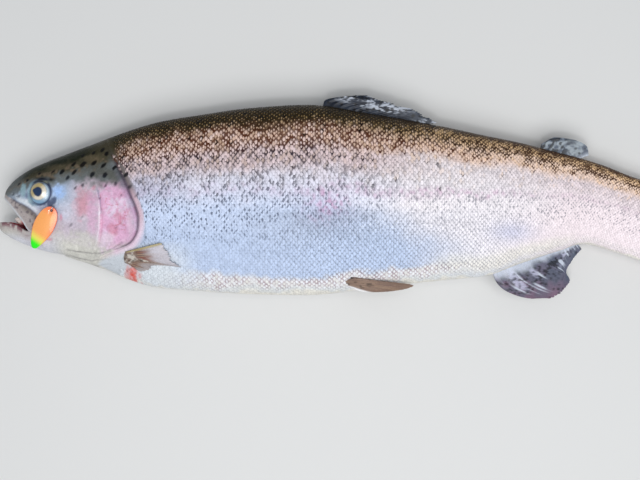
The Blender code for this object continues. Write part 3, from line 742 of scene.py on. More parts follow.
def flank_tones(s, h, w):
    """The trunk's bright and dark colours at a place, and how much of a scale is bright."""
    k = height_share(s, h) + 0.09 * (clouds(s, h, w, size=12, seed=3) - 0.5)
    k = k + 0.06 * (clouds(s, h, w, size=4, seed=2) - 0.5)
    rear = ramp(230, 400, s)
    wander = s + 26 * (clouds(s, h, size=26, seed=4) - 0.5)
    pearly = mix(PEARL, WARM_PEARL, ramp(320, 390, wander))
    deep = np.maximum(bump(wander - 238, 46) * ramp(0.0, -0.3, k), 0.85 * ramp(-0.12, -0.5, k))
    # the lower flank: pale silver with painted reflection of a blue sky
    low = mix(SKY_REFLECTION, DEEP_SKY_REFLECTION, deep)
    low = mix(low, pearly, ramp(205, 280, wander + 120 * np.clip(k + 0.05, -0.5, 0)))
    silver = 0.75 * bump(s - 214, 42) * ramp(-0.62, -0.1, k) + 0.2 * bump(s - 290, 34)
    low = mix(low, SILVER, silver * ramp(0.0, -0.18, k))
    low = mix(low, PALE_VIOLET, 0.7 * blob(s, h, (344, -20), (16, 7)))
    low = mix(low, CREAM, 0.7 * ramp(280, 310, s) * ramp(400, 370, s) * ramp(-0.6, -0.8, k))
    bright = mix(low, mix(MILK, pearly, ramp(300, 400, s)), ramp(-0.84, -0.94, k))
    bright = mix(bright, MILK, ramp(140, 110, s) * ramp(-0.4, -0.65, k))
    bright = mix(bright, CREAM, ramp(-0.92, -1.0, k))
    upper = mix(mix(SHADE_LILAC, LILAC, ramp(90, 150, wander)), pearly, ramp(200, 300, wander))
    bright = mix(bright, upper, ramp(-0.14, 0.24, k))
    rosy = mix(ROSE, pearly, 0.8 * ramp(230, 310, s))
    bright = mix(bright, rosy, ramp(0.2, 0.44, k + 0.06 * rear))
    peach = mix(PEACH, BRIGHT_PEACH, rear)
    bright = mix(bright, peach, ramp(0.48 - 0.06 * rear, 0.66, k + 0.04 * rear))
    bright = mix(bright, mix(GOLD, ORANGE_GOLD, rear), ramp(0.68, 0.88, k))
    bright = mix(bright, DIM_GOLD, 0.75 * ramp(0.82, 0.96, k))
    nape = ramp(0.45, 0.7, k) * ramp(96, 68, s)
    bright = mix(bright, TEMPLE, 0.7 * nape)
    stripe = 0.75 * bump(k + 0.02, 0.17) * bump(s - 222, 14)
    stripe = stripe + (0.2 + 0.3 * ramp(200, 250, s) * ramp(380, 320, s)) * bump(k - 0.12, 0.06)
    specks = 0.25 + 0.75 * ramp(0.4, 0.75, clouds(s, h, w, size=2.0, seed=5))
    bright = mix(bright, MAGENTA, stripe * specks)
    dark = mix(SLATE_BLUE, PLUM_GREY, ramp(0.0, 0.3, k))
    dark = mix(dark, MAROON, ramp(0.44, 0.62, k))
    dark = mix(dark, mix(OLIVE, MAROON, 0.5 * rear), ramp(0.7, 0.86, k + 0.2 * rear))
    dark = mix(dark, mix(CROWN, NAPE, 0.4), nape)
    risen = k - 0.17 * ramp(190, 330, s) * ramp(0.2, 0.5, k)
    share = 0.76 - 0.3 * ramp(0.3, 0.6, risen) - 0.3 * ramp(0.68, 0.88, risen)
    share = share + 0.12 * rear + 0.06 * ramp(250, 340, s) - 0.3 * ramp(0.9, 1.0, k)
    share = share - 0.16 * ramp(270, 330, s) * ramp(0.5, 0.65, k)
    share = share - 0.12 * bump(s - 210, 30) * bump(k - 0.67, 0.12)
    share = share + 0.22 * ramp(175, 230, s) * bump(k - 0.42, 0.13)
    patchy = clouds(s, h, w, size=2.6, seed=33) - 0.5
    share = share - (0.4 + 0.8 * rear) * patchy * ramp(0.36, 0.6, k)
    share = share + rear * (0.06 - 0.12 * ramp(0.44, 0.6, k) - 0.14 * ramp(0.8, 0.94, k))
    return bright, dark, share * mix_number(1, ramp(62, 96, s), ramp(0.3, 0.5, k)), risen


def flank_paint(s, h, w):
    """The trunk's skin, of the same colours as the scales over it."""
    bright, dark, share, _ = flank_tones(s, h, w)
    colour = mix(dark, bright, share)
    return mix(colour, STAIN, stained(s, h, w))


def stained(s, h, w):
    """The blood on the breast, below the left pectoral fin."""
    ragged = 0.8 * (clouds(s, h, size=2.2, seed=6) - 0.5)
    reach = np.hypot((s - 89) / 5.4, (h + 49) / 9.0) + ragged
    streaks = 0.5 + 0.5 * clouds(s, h, size=1.4, seed=27)
    return ramp(1.2, 0.5, reach) * streaks * (w > 0)


def head_paint(s, h, w):
    """The head's ground colours: olive crown, silver and rose cheeks, pale throat."""
    mottle = clouds(s, h, w, size=5, seed=7) - 0.5
    fine = clouds(s, h, w, size=1.8, seed=8) - 0.5
    k = height_share(s, h) + 0.16 * mottle + 0.1 * fine
    colour = mix(CHEEK, THROAT, ramp(-0.4, -0.75, k))
    colour = mix(colour, CHIN, ramp(46, 30, s) * ramp(-18, -26, h))
    colour = mix(colour, STEEL_BLUE, 0.8 * ramp(58, 42, s) * ramp(-0.45, 0.1, k))
    gill = ramp(66, 70, s) * ramp(-0.72, -0.4, k) * ramp(0.42, 0.12, k)
    colour = mix(colour, veined(s, h, w), 0.9 * gill)
    pale = clouds(s, h, w, size=7, seed=10) + 0.5 * fine
    colour = mix(colour, LILAC, 0.5 * gill * ramp(0.45, 0.85, pale))
    brow = mix(BROW, TEMPLE, 0.55 * ramp(52, 66, s))
    farther = ramp(52, 72, s)
    colour = mix(colour, brow, ramp(0.28 - 0.14 * farther, 0.48 - 0.1 * farther, k))
    colour = mix(colour, TEMPLE, ramp(0.48, 0.66, k))
    colour = mix(colour, BRONZE, 0.2 * ramp(0.5, 0.65, k) * ramp(0.45, 0.8, mottle + 0.5 + fine))
    colour = mix(colour, mix(CROWN, NAPE, ramp(50, 74, s)), ramp(0.66, 0.84, k))
    snout = ramp(18, 5, s) * ramp(-0.05, 0.3, k)
    colour = mix(colour, BROW, 0.6 * snout)
    for tint, middle, radii, strength in HEAD_PATCHES:
        reach = np.hypot((s - middle[0]) / radii[0], (h - middle[1]) / radii[1])
        share = ramp(1.15, 0.35, reach + 0.5 * mottle + 0.55 * fine)
        colour = mix(colour, tint, strength * share)
    light = 1 + 0.24 * (clouds(s, h, w, size=1.3, seed=25) - 0.5) + 0.16 * mottle
    return face_lines(colour * light[..., None], s, h, w)


def veined(s, h, w):
    """Fine red lines over rose, for the gill covers."""
    line = np.abs(clouds(s, h, w, size=3.4, seed=13) + 0.3 * clouds(s, h, size=1.2, seed=14) - 0.65)
    patchy = ramp(0.35, 0.75, clouds(s, h, w, size=6, seed=28))
    return mix(GILL_PINK, ROSE_RED, ramp(0.07, 0.0, line) * patchy)


def face_lines(colour, s, h, w):
    """The upper jaw's bone, throat folds, cheek ridge and eye's surround, with painted shade in the
    grooves and painted highlights beside them.
    """
    groove, _ = along(MAXILLA_GROOVE, s, h)
    lip, _ = along((*UPPER_LIP, JAW_JOINT), s, h)
    under = ramp(0.6, -0.8, groove) * ramp(38, 30, s) * ramp(-26, -20, h) * ramp(-0.5, 0.5, lip)
    mottle = clouds(s, h, w, size=1.6, seed=15)
    colour = mix(colour, LIP, under)
    colour = mix(colour, LIP_BROWN, 0.85 * under * ramp(5.0, 0.5, -groove) * ramp(8, 15, s))
    colour = mix(colour, GROOVE, 0.6 * under * ramp(0.55, 0.85, mottle))
    near = ramp(3, 7, s)
    # painted shade: a dark line down the upper jaw's groove
    colour = mix(colour, GROOVE, 0.8 * bump(groove, 0.6) * ramp(28, 20, s) * near)
    # painted highlight along the band above the upper jaw's groove; the next line is the upper
    # lip's pale edge
    colour = mix(colour, LIP_EDGE_AND_HIGHLIGHT, 0.8 * bump(groove - 2.4, 1.7) * ramp(30, 22, s) * ramp(6, 11, s))
    colour = mix(colour, LIP_EDGE_AND_HIGHLIGHT, 0.7 * bump(lip - 0.5, 0.6 + 0.5 * mottle) * ramp(26, 16, s))
    for fold in FOLDS:
        line, _ = along(fold, s, h)
        # painted shade in each throat fold
        colour = mix(colour, GROOVE, 0.5 * bump(line, 0.45) * (0.4 + 0.8 * mottle))
    ridge, _ = along(CHEEK_EDGE, s, h)
    uneven = 0.5 + 0.7 * clouds(s, h, size=4, seed=16)
    side = ridge + 0.5 * (mottle - 0.5)
    low = ramp(4, -6, h) * ramp(-31, -22, h)
    # painted highlight along the cheek ridge's raised edge, and painted shade in the groove just
    # behind it
    colour = mix(colour, WHITE, 0.6 * ramp(0.1, -0.4, side) * ramp(-1.4, -0.6, side) * low * uneven)
    colour = mix(colour, VIOLET, 0.6 * bump(side - 0.5, 0.5) * ramp(11, 7, h) * ramp(-12, -5, h))
    colour = mix(colour, ROSE_RED, 0.3 * bump(side - 1.1, 0.9) * low)
    return eye_surround(colour, s, h)


def eye_surround(colour, s, h):
    """Blue-grey skin round the eye, with painted shade under the socket's upper rim and darker
    strokes above and behind it.
    """
    ahead, up = s - EYE[0], h - EYE[1]
    distance = np.hypot(ahead, up) + 2.0 * (clouds(s, h, size=2.6, seed=17) - 0.5)
    slant = (up - ahead) * 0.7
    colour = mix(colour, SOCKET, 0.6 * ramp(10.4, 8.6, distance))
    colour = mix(colour, ICE, 0.7 * ramp(10.4, 8.6, distance) * ramp(2.0, -4.0, ahead))
    # painted shade along the socket's upper rim
    above = ramp(0.5, 5.0, up) * ramp(-8.0, -4.0, ahead)
    colour = mix(colour, SOCKET_DARK, 0.9 * ramp(10.0, 8.8, distance) * above)
    colour = mix(colour, VIOLET, 0.8 * ramp(9.4, 8.2, distance) * ramp(1.0, -3.0, slant))
    rising = ((ahead - 9.4) + (up + 6.6)) * 0.7
    falling = ((ahead - 9.4) - (up + 6.6)) * 0.7
    off = np.hypot(rising / 4.6, falling / 2.7) + 0.5 * (clouds(s, h, size=1.5, seed=19) - 0.5)
    colour = mix(colour, DEEP_VIOLET, 0.85 * ramp(1.2, 0.6, off + 0.1 * (distance - 11)))
    colour = mix(colour, LID, 0.8 * blob(s, h, (30.0, 13.8), (3.0, 1.0)))
    colour = mix(colour, INK, 0.9 * blob(s, h, (27.0, 16.2), (4.6, 1.2)))
    return mix(colour, INK, 0.9 * blob(s, h, (34.0, 15.4), (2.6, 1.3)))


def with_spots(colour, s, h, w):
    """Dark spots on the head, blue and faint on the cheek; the right side has its own places."""
    slip = np.where(w > 0, 0.0, 2.3)
    wander = 0.9 * (clouds(s, h, w, size=1.4, seed=11) - 0.5)
    dark = np.zeros(s.shape)
    for i, (spot_s, spot_h, size) in enumerate(HEAD_SPOTS):
        lean = 0.2 + 0.5 * float(hashed(np.array(i), seed=18))
        across = (s - spot_s + slip) - lean * (h - spot_h)
        distance = np.hypot(across, (h - spot_h - slip * 0.6) * 0.85) + wander
        strength = 0.5 + 0.45 * float(ramp(-5.0, 24.0, spot_h))
        soft = 0.8 + 0.6 * float(ramp(24.0, 8.0, spot_h))
        dark = np.maximum(dark, strength * ramp(size + 0.1, size - soft, distance))
    return mix(colour, mix(NAVY, INK, ramp(12, 24, h)), dark)


def mouth_paint(colour, s, h, w):
    """Flesh inside the mouth, bloody at its corner, and the mottled rim of the lower jaw."""
    below = table_at(JAW, s)[0] - h
    rim = ramp(4.6, 1.0, below) * ramp(-1.6, -0.6, below) * ramp(20, 14, s)
    blotch = ramp(0.4, 0.62, clouds(s, h, w, size=1.9, seed=20))
    pale = ramp(9.0, 3.0, below) * ramp(-1.6, -0.6, below) * ramp(22, 14, s)
    colour = mix(colour, LIP, 0.7 * pale)
    colour = mix(colour, JAW_RED, 0.8 * rim * blotch)
    (mid_s, mid_h, _), (long, high, wide) = MOUTH_HOLLOW
    depth = ((s - mid_s) / long) ** 2 + ((h - mid_h) / high) ** 2 + (w / wide) ** 2
    middle, tall, across = table_at(MOUTH_ROOM, s)
    room = ((h - middle) / tall) ** 2 + (w / across) ** 2 + ramp(0.5, -1.5, s) + ramp(36, 38, s)
    inside = np.maximum(ramp(1.4, 1.12, depth), ramp(1.3, 1.08, room))
    colour = mix(colour, mix(MOUTH, PALE_GILL, ramp(10, 2, s) * ramp(-14, -8, h)), inside)
    return mix(colour, BLOOD, inside * ramp(4, 11, s))


# ---------------------------------------------------------------- the skin
def head_relief(s, h, w):
    """How far the head's skin stands out, in millimetres: gill cover, cheek bones, eye rims."""
    edge, share = along(GILL_OPENING, s, h)
    covered = ramp(0.16, 0.3, share) * ramp(0.9, 0.8, share)
    relief = covered * 1.25 * ramp(0.5, -0.5, edge) * np.exp(np.minimum(edge, 0) / 9)
    relief -= covered * 1.1 * bump(edge - 1.1, 0.8)
    relief -= 0.5 * (1 - covered) * bump(edge, 0.7)
    ridge, _ = along(CHEEK_EDGE, s, h)
    relief += 0.6 * ramp(-0.5, 0.5, -ridge) * np.exp(-np.maximum(-ridge, 0) / 6)
    relief -= 0.35 * bump(ridge - 0.9, 0.6)
    groove, _ = along(MAXILLA_GROOVE, s, h)
    relief -= 0.9 * bump(groove, 0.6)
    relief += 0.35 * bump(groove + 2.2, 1.6) * ramp(40, 32, s)
    for fold in FOLDS:
        line, _ = along(fold, s, h)
        relief -= 0.55 * bump(line, 0.55)
        relief += 0.3 * bump(line - 1.6, 1.0)
    distance = np.hypot(s - EYE[0], h - EYE[1])
    relief -= 1.9 * ramp(8.5, 7.3, distance)
    relief += 0.45 * bump(distance - 9.4, 0.9)
    for nostril in NOSTRILS:
        near = np.hypot(s - nostril[0], (h - nostril[1]) * 1.2)
        relief += 0.35 * bump(near - 1.5, 0.5) - 1.1 * ramp(1.2, 0.6, near)
    relief += 0.3 * (clouds(s, h, w, size=7, seed=21) - 0.5)
    return relief + 0.12 * (clouds(s, h, w, size=2.2, seed=22) - 0.5)


def head_shape():
    """The head's flesh as one closed mesh: the body's front, opened at the mouth, and the jaw."""
    s = SNOUT + (HEAD_END - SNOUT) * column(0, 1, HEAD_GRID[0]) ** 1.5
    head = scratch_loft("head_flesh", place(s, *section(s, turns(HEAD_GRID[1]))))
    lip = path_through((*UPPER_LIP, JAW_JOINT))(np.linspace(0, 1, 24))
    seam = [*lip, (44.0, -60.0), (-20.0, -60.0), (-20.0, 3.6)]
    middle, radii = MOUTH_HOLLOW
    s = column(MOUTH_ROOM[0][0], MOUTH_ROOM[-1][0], MOUTH_GRID[0])
    h, high, wide = table_at(MOUTH_ROOM, s)
    around = turns(MOUTH_GRID[1])
    rings = place(s, h + high * np.cos(around), wide * np.sin(around))
    gap = scratch_prism("mouth_gap", seam, -70, 70)
    ball = scratch_ball("mouth_ball", place(*middle), radii)
    room = scratch_loft("mouth_room", rings)
    for hollow in (gap, ball, room):
        cut(head, hollow)

    s = JAW[0][0] + (JAW[-1][0] - JAW[0][0]) * column(0, 1, JAW_GRID[0]) ** 1.4
    lip, under, half_width = table_at(JAW, s)
    around = np.linspace(0, pi, JAW_GRID[1])[None, :]
    bowl = lip - (lip - under) * np.sin(around) ** 0.8
    jaw = scratch_loft("jaw_flesh", place(s, bowl, half_width * np.cos(around)))
    cut(jaw, ball)

    both = bpy.data.meshes.new("head_both")
    bm = bmesh.new()
    for part in (head, jaw):
        bm.from_mesh(finished(part))
    bm.to_mesh(both)
    bm.free()
    obj = linked("head_both", both)
    remesh = obj.modifiers.new("remesh", "REMESH")
    remesh.mode = "VOXEL"
    remesh.voxel_size = HEAD_GRAIN * MM
    smooth = obj.modifiers.new("smooth", "SMOOTH")
    smooth.factor = 0.5
    smooth.iterations = 6
    shaped = finished(obj)
    for used in (obj, head, jaw, gap, ball, room):
        bpy.data.objects.remove(used)
    return shaped


def scratch_prism(name, outline, low, high):
    """The outline in s and h, run straight across the fish."""
    outline = np.asarray(outline, float)
    rings = np.stack([place(outline[:, 0], outline[:, 1], 0.0)] * 2)
    for ring, w in zip(rings, (low, high)):
        ring[:, 2] = (body_at(EYE[0])[3] + w) * MM
    return scratch_loft(name, rings)


def make_skin(look):
    """One skin over the whole fish, which the scales then cover behind the gill openings."""
    points, normals, faces = arrays(head_shape())
    s, h, w = unplace(points)
    side = np.abs(normals[:, 2])
    relief = head_relief(s, h, w) * ramp(0.05, 0.5, side)
    gill, _ = along(GILL_OPENING, s, h)
    seam_start, seam_end = HEAD_END - OVERLAP[0], HEAD_END - OVERLAP[1]
    sink = SCALE_COAT * ramp(2.0, 8.0, gill) + OVERLAP[2] * ramp(seam_start, seam_end, s)
    moved = points + normals * ((relief - sink) * MM)[:, None]
    moved[:, 2] = np.maximum(moved[:, 2], 0.0)
    colour = mix(head_paint(s, h, w), flank_paint(s, h, w), ramp(1.5, 5.0, gill))
    strip = ramp(0.4, 1.6, gill) * ramp(7.5, 3.0, gill) * ramp(-40, -30, h)
    behind = mix(SHOULDER, PALE_GILL, ramp(-8, -22, h))
    colour = mix(colour, mix(behind, EARTH_GREY, ramp(0, 13, h)), 0.85 * strip * ramp(34, 26, h))
    colour = mix(colour, VIOLET, 0.4 * ramp(-5, 0, gill) * ramp(2.5, 1, gill) * bump(h, 20))
    # painted shade: a dark line in the groove under the gill cover's edge
    colour = mix(colour, GROOVE, 0.9 * bump(gill - 0.8, 0.6) * ramp(36, 26, h) * ramp(-34, -28, h))
    colour = mouth_paint(with_spots(colour, s, h, w), s, h, w)
    colour = np.where((s < HEAD_END)[:, None], colour, PEARL)

    rows = column(seam_start, BODY_END, TRUNK_GRID[0])
    depth = SCALE_COAT + OVERLAP[2] * ramp(seam_end, seam_start, rows) + tail_sink(rows)
    h, w = section(rows, turns(TRUNK_GRID[1]), -depth)
    trunk = place(rows, h, w).reshape(-1, 3)
    trunk_colour = flank_paint(*(v.ravel() for v in np.broadcast_arrays(rows, h, w)))
    trunk_faces = grid_faces(*TRUNK_GRID, wrap=True, start=len(moved))
    skin = new_piece(
        "skin",
        np.concatenate([moved, trunk]),
        np.concatenate([faces, trunk_faces]),
        look,
        np.concatenate([colour, trunk_colour]),
    )
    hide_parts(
        "head", "lower_jaw", "gill_cover_left", "gill_cover_right",
        "trunk_front", "trunk_rear", "tail_stalk",
    )


# ---------------------------------------------------------------- the scales
def section_angles(reach=130.0, step=0.5):
    """A table of section angles by s and by distance round the body from mid height."""
    s = np.arange(BAKE_START, BODY_END + 1.0, 1.0)
    half = 360  # steps of the angle from the back to mid height
    angle = np.linspace(0, pi, 2 * half + 1)
    h, w = section(s[:, None], angle[None, :])
    run = np.hypot(np.diff(h, axis=1), np.diff(w, axis=1)).cumsum(axis=1)
    run = np.concatenate([np.zeros((len(s), 1)), run], axis=1)
    middle = run[:, half : half + 1]
    distance = np.arange(-reach, reach + step, step)
    table = np.stack([np.interp(distance, line - m, angle) for line, m in zip(run, middle)])
    top, bottom = run[:, 0] - middle[:, 0], run[:, -1] - middle[:, 0]

    def at(s_at, away):
        i = np.clip(s_at - s[0], 0, len(s) - 1.001)
        j = np.clip((away + reach) / step, 0, len(distance) - 1.001)
        i0, j0 = i.astype(int), j.astype(int)
        u, v = i - i0, j - j0
        near = table[i0, j0] * (1 - v) + table[i0, j0 + 1] * v
        far = table[i0 + 1, j0] * (1 - v) + table[i0 + 1, j0 + 1] * v
        return near * (1 - u) + far * u

    def edges(s_at):
        return np.interp(s_at, s, top), np.interp(s_at, s, bottom)

    return at, edges


def scale_size(s):
    """The scales' size against those at mid body: small at the nape and on the tail."""
    return (1 - (1 - TAIL_SCALE) * ramp(230, 430, s)) * (0.78 + 0.22 * ramp(70, 150, s))


def tail_sink(s):
    """How much deeper the skin and scales lie at the tail's end, where the fin's rays begin."""
    return 2.8 * ramp(450, BODY_END - 2, s)


def scale_lattice():
    """The middles of one side's scales: s, distance round from mid height, size and row."""
    along_row = [SCALES_START]
    while along_row[-1] < BODY_END - 1:
        along_row.append(along_row[-1] + 0.5 * SCALE_LENGTH * float(scale_size(along_row[-1])))
    along_row = np.array(along_row)
    rows = np.arange(-SCALES_AROUND, SCALES_AROUND + 1)
    i, j = np.meshgrid(np.arange(len(along_row)), rows, indexing="ij")
    kept = (i + j) % 2 == 0
    i, j = i[kept], j[kept]
    s = along_row[i]
    size = scale_size(s)
    s = s + (hashed(i, j, seed=31) - 0.5) * 0.5 * size
    away = j * SCALE_ROW * size + (hashed(i, j, seed=32) - 0.5) * 0.4 * size
    return s, away, size, i, j


def scale_patch():
    """One scale's own measures: x to the rear and y across, and which vertices are its rim."""
    x, y = np.meshgrid(SCALE_ALONG, SCALE_ACROSS, indexing="ij")
    rim = (np.abs(y) == 1.0) | (x == 1.0)
    round_x = x * np.sqrt(1 - y**2 / 2)
    round_y = y * np.sqrt(1 - x**2 / 2)
    round_y = np.where(x < 0, y * (1 - 0.25 * x**2), round_y)
    return round_x.ravel(), round_y.ravel(), rim.ravel()


def make_scales(look):
    """Thin overlapping scales, rear margins out, from the gill openings to the tail fin."""
    angle_at, edges = section_angles()
    lattice = scale_lattice()
    x, y, rim = scale_patch()
    per_scale = grid_faces(len(SCALE_ALONG), len(SCALE_ACROSS))
    for name, side in SIDES:
        s, away, size, i, j = lattice
        kept = scaled(s, away, size, side, angle_at, edges)
        s, away, size, i, j = (v[kept] for v in (s, away, size, i, j))
        tilt = 1 + 0.5 * (hashed(i, j, seed=40 if side > 0 else 50)[:, None] - 0.5)
        reach_s = s[:, None] + SCALE_LENGTH * size[:, None] * (0.62 * x + 0.02)[None, :]
        reach_s = np.minimum(reach_s, BODY_END)
        reach_a = away[:, None] + SCALE_ROW * size[:, None] * 1.2 * y[None, :]
        lift = SCALE_COAT * (0.42 + 0.5 * x[None, :] * tilt) - 0.2 * rim[None, :]
        lift = lift + 0.1 * (1 - y[None, :] ** 2)
        grow = -SCALE_COAT + np.maximum(lift * (0.5 + 0.5 * size[:, None]), -0.1)
        turn = angle_over(reach_s, reach_a, angle_at, edges)
        hh, ww = section(reach_s, turn, grow - tail_sink(reach_s))
        ww = ww * side
        points = place(reach_s, hh, ww)
        local = (np.broadcast_to(v[None, :], ww.shape) for v in (x, y))
        paint = scale_paint(reach_s, hh, ww, *local, i[:, None], j[:, None], side)
        root_u = (s - BAKE_START) / (BODY_END - BAKE_START) * 0.96 + 0.02
        root_v = angle_at(s, away) / pi * 0.46 + (0.02 if side > 0 else 0.52)
        u = root_u[:, None] + x[None, :] * BAKE_PATCH / 2
        v = root_v[:, None] + y[None, :] * BAKE_PATCH / 2
        cuts = np.quantile(s, np.linspace(0, 1, SCALE_PIECES + 1))
        for part, (low, high) in enumerate(zip(cuts, cuts[1:])):
            mine = (s >= low) & ((s < high) | (part == SCALE_PIECES - 1))
            starts = np.arange(mine.sum())[:, None, None] * len(x)
            faces = (per_scale[None] + starts).reshape(-1, 4)
            if side < 0:
                faces = faces[:, ::-1]
            coat = new_piece(
                f"scales_{name}_{part + 1}", points[mine], faces, look,
                {label: values[mine] for label, values in paint.items()},
            )
            uv = np.stack([u[mine].ravel(), v[mine].ravel()], -1)
            layer = coat.data.uv_layers.new(name="OFBake")
            layer.data.foreach_set("uv", uv[faces.ravel()].astype(np.float32).ravel())


def scaled(s, away, size, side, angle_at, edges):
    """Which of the lattice's places bear a scale: none on the head, breast and fin."""
    top, bottom = edges(s)
    h, _ = section(s, angle_at(s, away))
    edge, _ = along(GILL_OPENING, s, h)
    bare = 1.6 + 2.6 * ramp(26, 8, h) + 3.0 * ramp(-12, -26, h) + 9.0 * ramp(-34, -46, h)
    nape, breast = ramp(24, 34, h), ramp(-30, -42, h)
    ragged = clouds(s, h, size=3.4, seed=26) - 0.5
    bare = bare + 0.4 * nape + (2.4 + 7.0 * nape + 6.0 * breast) * ragged
    end = BODY_END - 4.0 - 5.0 * (h / TAIL_ROOT_DEPTH) ** 2 - 3.0 * clouds(h, size=2.0, seed=29)
    margin = -0.2 if side > 0 else 0.9
    on_side = (away > top + margin * size) & (away < bottom - margin * size)
    return on_side & (edge > bare) & (s < end)


def angle_over(s, away, angle_at, edges):
    """The section's angle, carried on over the back's and belly's middle lines."""
    top, bottom = edges(s)
    turn = angle_at(s, away)
    turn = np.where(away < top, -angle_at(s, 2 * top - away), turn)
    return np.where(away > bottom, 2 * pi - angle_at(s, 2 * bottom - away), turn)


def scale_paint(s, h, w, x, y, i, j, side):
    """What the scales' material needs: their bright and dark colours and the two ovals.

    Both ovals are kept as places in them, 1 at their edges, and the strength of their use.
    """
    bright, dark, share, k = flank_tones(s, h, w)
    luck, other, third = (hashed(i, j, seed=seed + side) for seed in (60, 63, 69))
    clump = clouds(s, h, w, size=5, seed=24)
    spotted = (hashed(i, j, seed=66 + side) < 0.03 * ramp(0.0, 0.3, k)) & (s < 300)
    grown = 0.4 + 0.9 * luck + 0.45 * clump
    middle = ramp(-0.1, 0.3, k)
    dash_x = (0.28 + 0.14 * middle) * grown + 0.14 * spotted
    dash_y = (0.36 + 0.22 * middle) * grown + 0.15 * spotted
    amount = 0.15 + 0.75 * ramp(-0.66, -0.2, k) + 0.15 * middle
    amount = amount * ramp(0.2, 0.7, luck + 0.6 * (clump - 0.5))
    amount = amount * (1 - ramp(210, 290, s) * (0.2 + 0.4 * ramp(0.05, 0.2, k)))
    rear = ramp(230, 320, s)
    back = ramp(0.18 + 0.12 * rear, 0.5, k + 0.3 * (third - 0.5) + 0.16 * (clump - 0.5))
    spread = (0.35 + 1.0 * other) * (0.7 + 0.6 * clump)
    spread = spread * mix_number(1.0, ramp(0.1, 0.8, luck), ramp(0.7, 0.85, k))
    spread = mix_number(spread, 0.72 + 0.3 * other, 0.75 * ramp(250, 340, s))
    mark_x = mix_number(0.54, 0.14 + 0.62 * share * spread, back)
    mark_y = mix_number(0.7, 0.2 + 0.9 * share * spread, back)
    dash_s, dash_a = x - 0.06 + 0.3 * (third - 0.5), y + 0.8 * (other - 0.5)
    mark_s, mark_a = x - 0.38 + 0.3 * back * (luck - 0.5), y + 0.8 * back * (third - 0.5)
    lattice = ramp(140, 230, s) * ramp(380, 320, s) * ramp(0.05, -0.35, k) * ramp(-0.9, -0.8, k)
    flecked = ramp(-0.74, -0.84, k) * ramp(-0.97, -0.9, k) * ramp(100, 150, s)
    flecked = flecked * (1 - 0.7 * ramp(280, 330, s))
    net = 0.14 + 0.4 * lattice + 0.16 * ramp(-0.2, 0.2, k) + (0.1 + 0.8 * luck) * flecked
    use = mix_number(np.clip(net, 0, 1), 1.0, back)
    mark_x, mark_y = mark_x - 0.2 * flecked * luck, mark_y - 0.3 * flecked * other
    # random brightness per scale, and painted shade at its base, under the rear edge of the scale
    # ahead
    light = (0.93 + 0.14 * other + 0.05 * lattice) * (1 - 0.2 * ramp(0.3, -0.45, x))
    bright = mix(bright, mix(WHITE, CREAM, third), 0.8 * flecked)
    varied = mix(WARM_PEARL, mix(GOLD, ORANGE_GOLD, rear), ramp(0.0, 0.8, third + 0.4 * rear))
    bright = mix(bright, varied, 0.45 * luck * back * ramp(0.9, 0.7, k))
    paler = 0.45 * luck * other * back * ramp(0.9, 0.75, k)
    dark = mix(mix(dark, FLECK_ROSE, 0.9 * flecked), bright, paler)
    tinted = with_spots(mix(bright, STAIN, stained(s, h, w)) * light[..., None], s, h, w)
    return {
        "bright": tinted,
        "dark": mix(with_spots(dark, s, h, w), INK, 0.8 * spotted),
        "dash": np.stack([dash_s / dash_x, dash_a / dash_y, np.clip(amount + spotted, 0, 1)], -1),
        "mark": np.stack([mark_s / mark_x, mark_a / mark_y, use], -1),
    }


# ---------------------------------------------------------------- the fins
def dots(s, h, size, share, seed):
    """Scattered round dots, 1 in their middles, in this share of a lattice's cells."""
    i, j = np.floor(s / size), np.floor(h / size)
    off_s = s / size - i - 0.32 - 0.36 * hashed(i, j, seed=seed)
    off_h = h / size - j - 0.32 - 0.36 * hashed(i, j, seed=seed + 1)
    radius = 0.17 + 0.14 * hashed(i, j, seed=seed + 2)
    reach = np.hypot(off_s, off_h) + 0.16 * (clouds(s, h, size=size * 0.25, seed=seed) - 0.5)
    return (hashed(i, j, seed=seed + 3) < share) * ramp(radius + 0.06, radius - 0.08, reach)


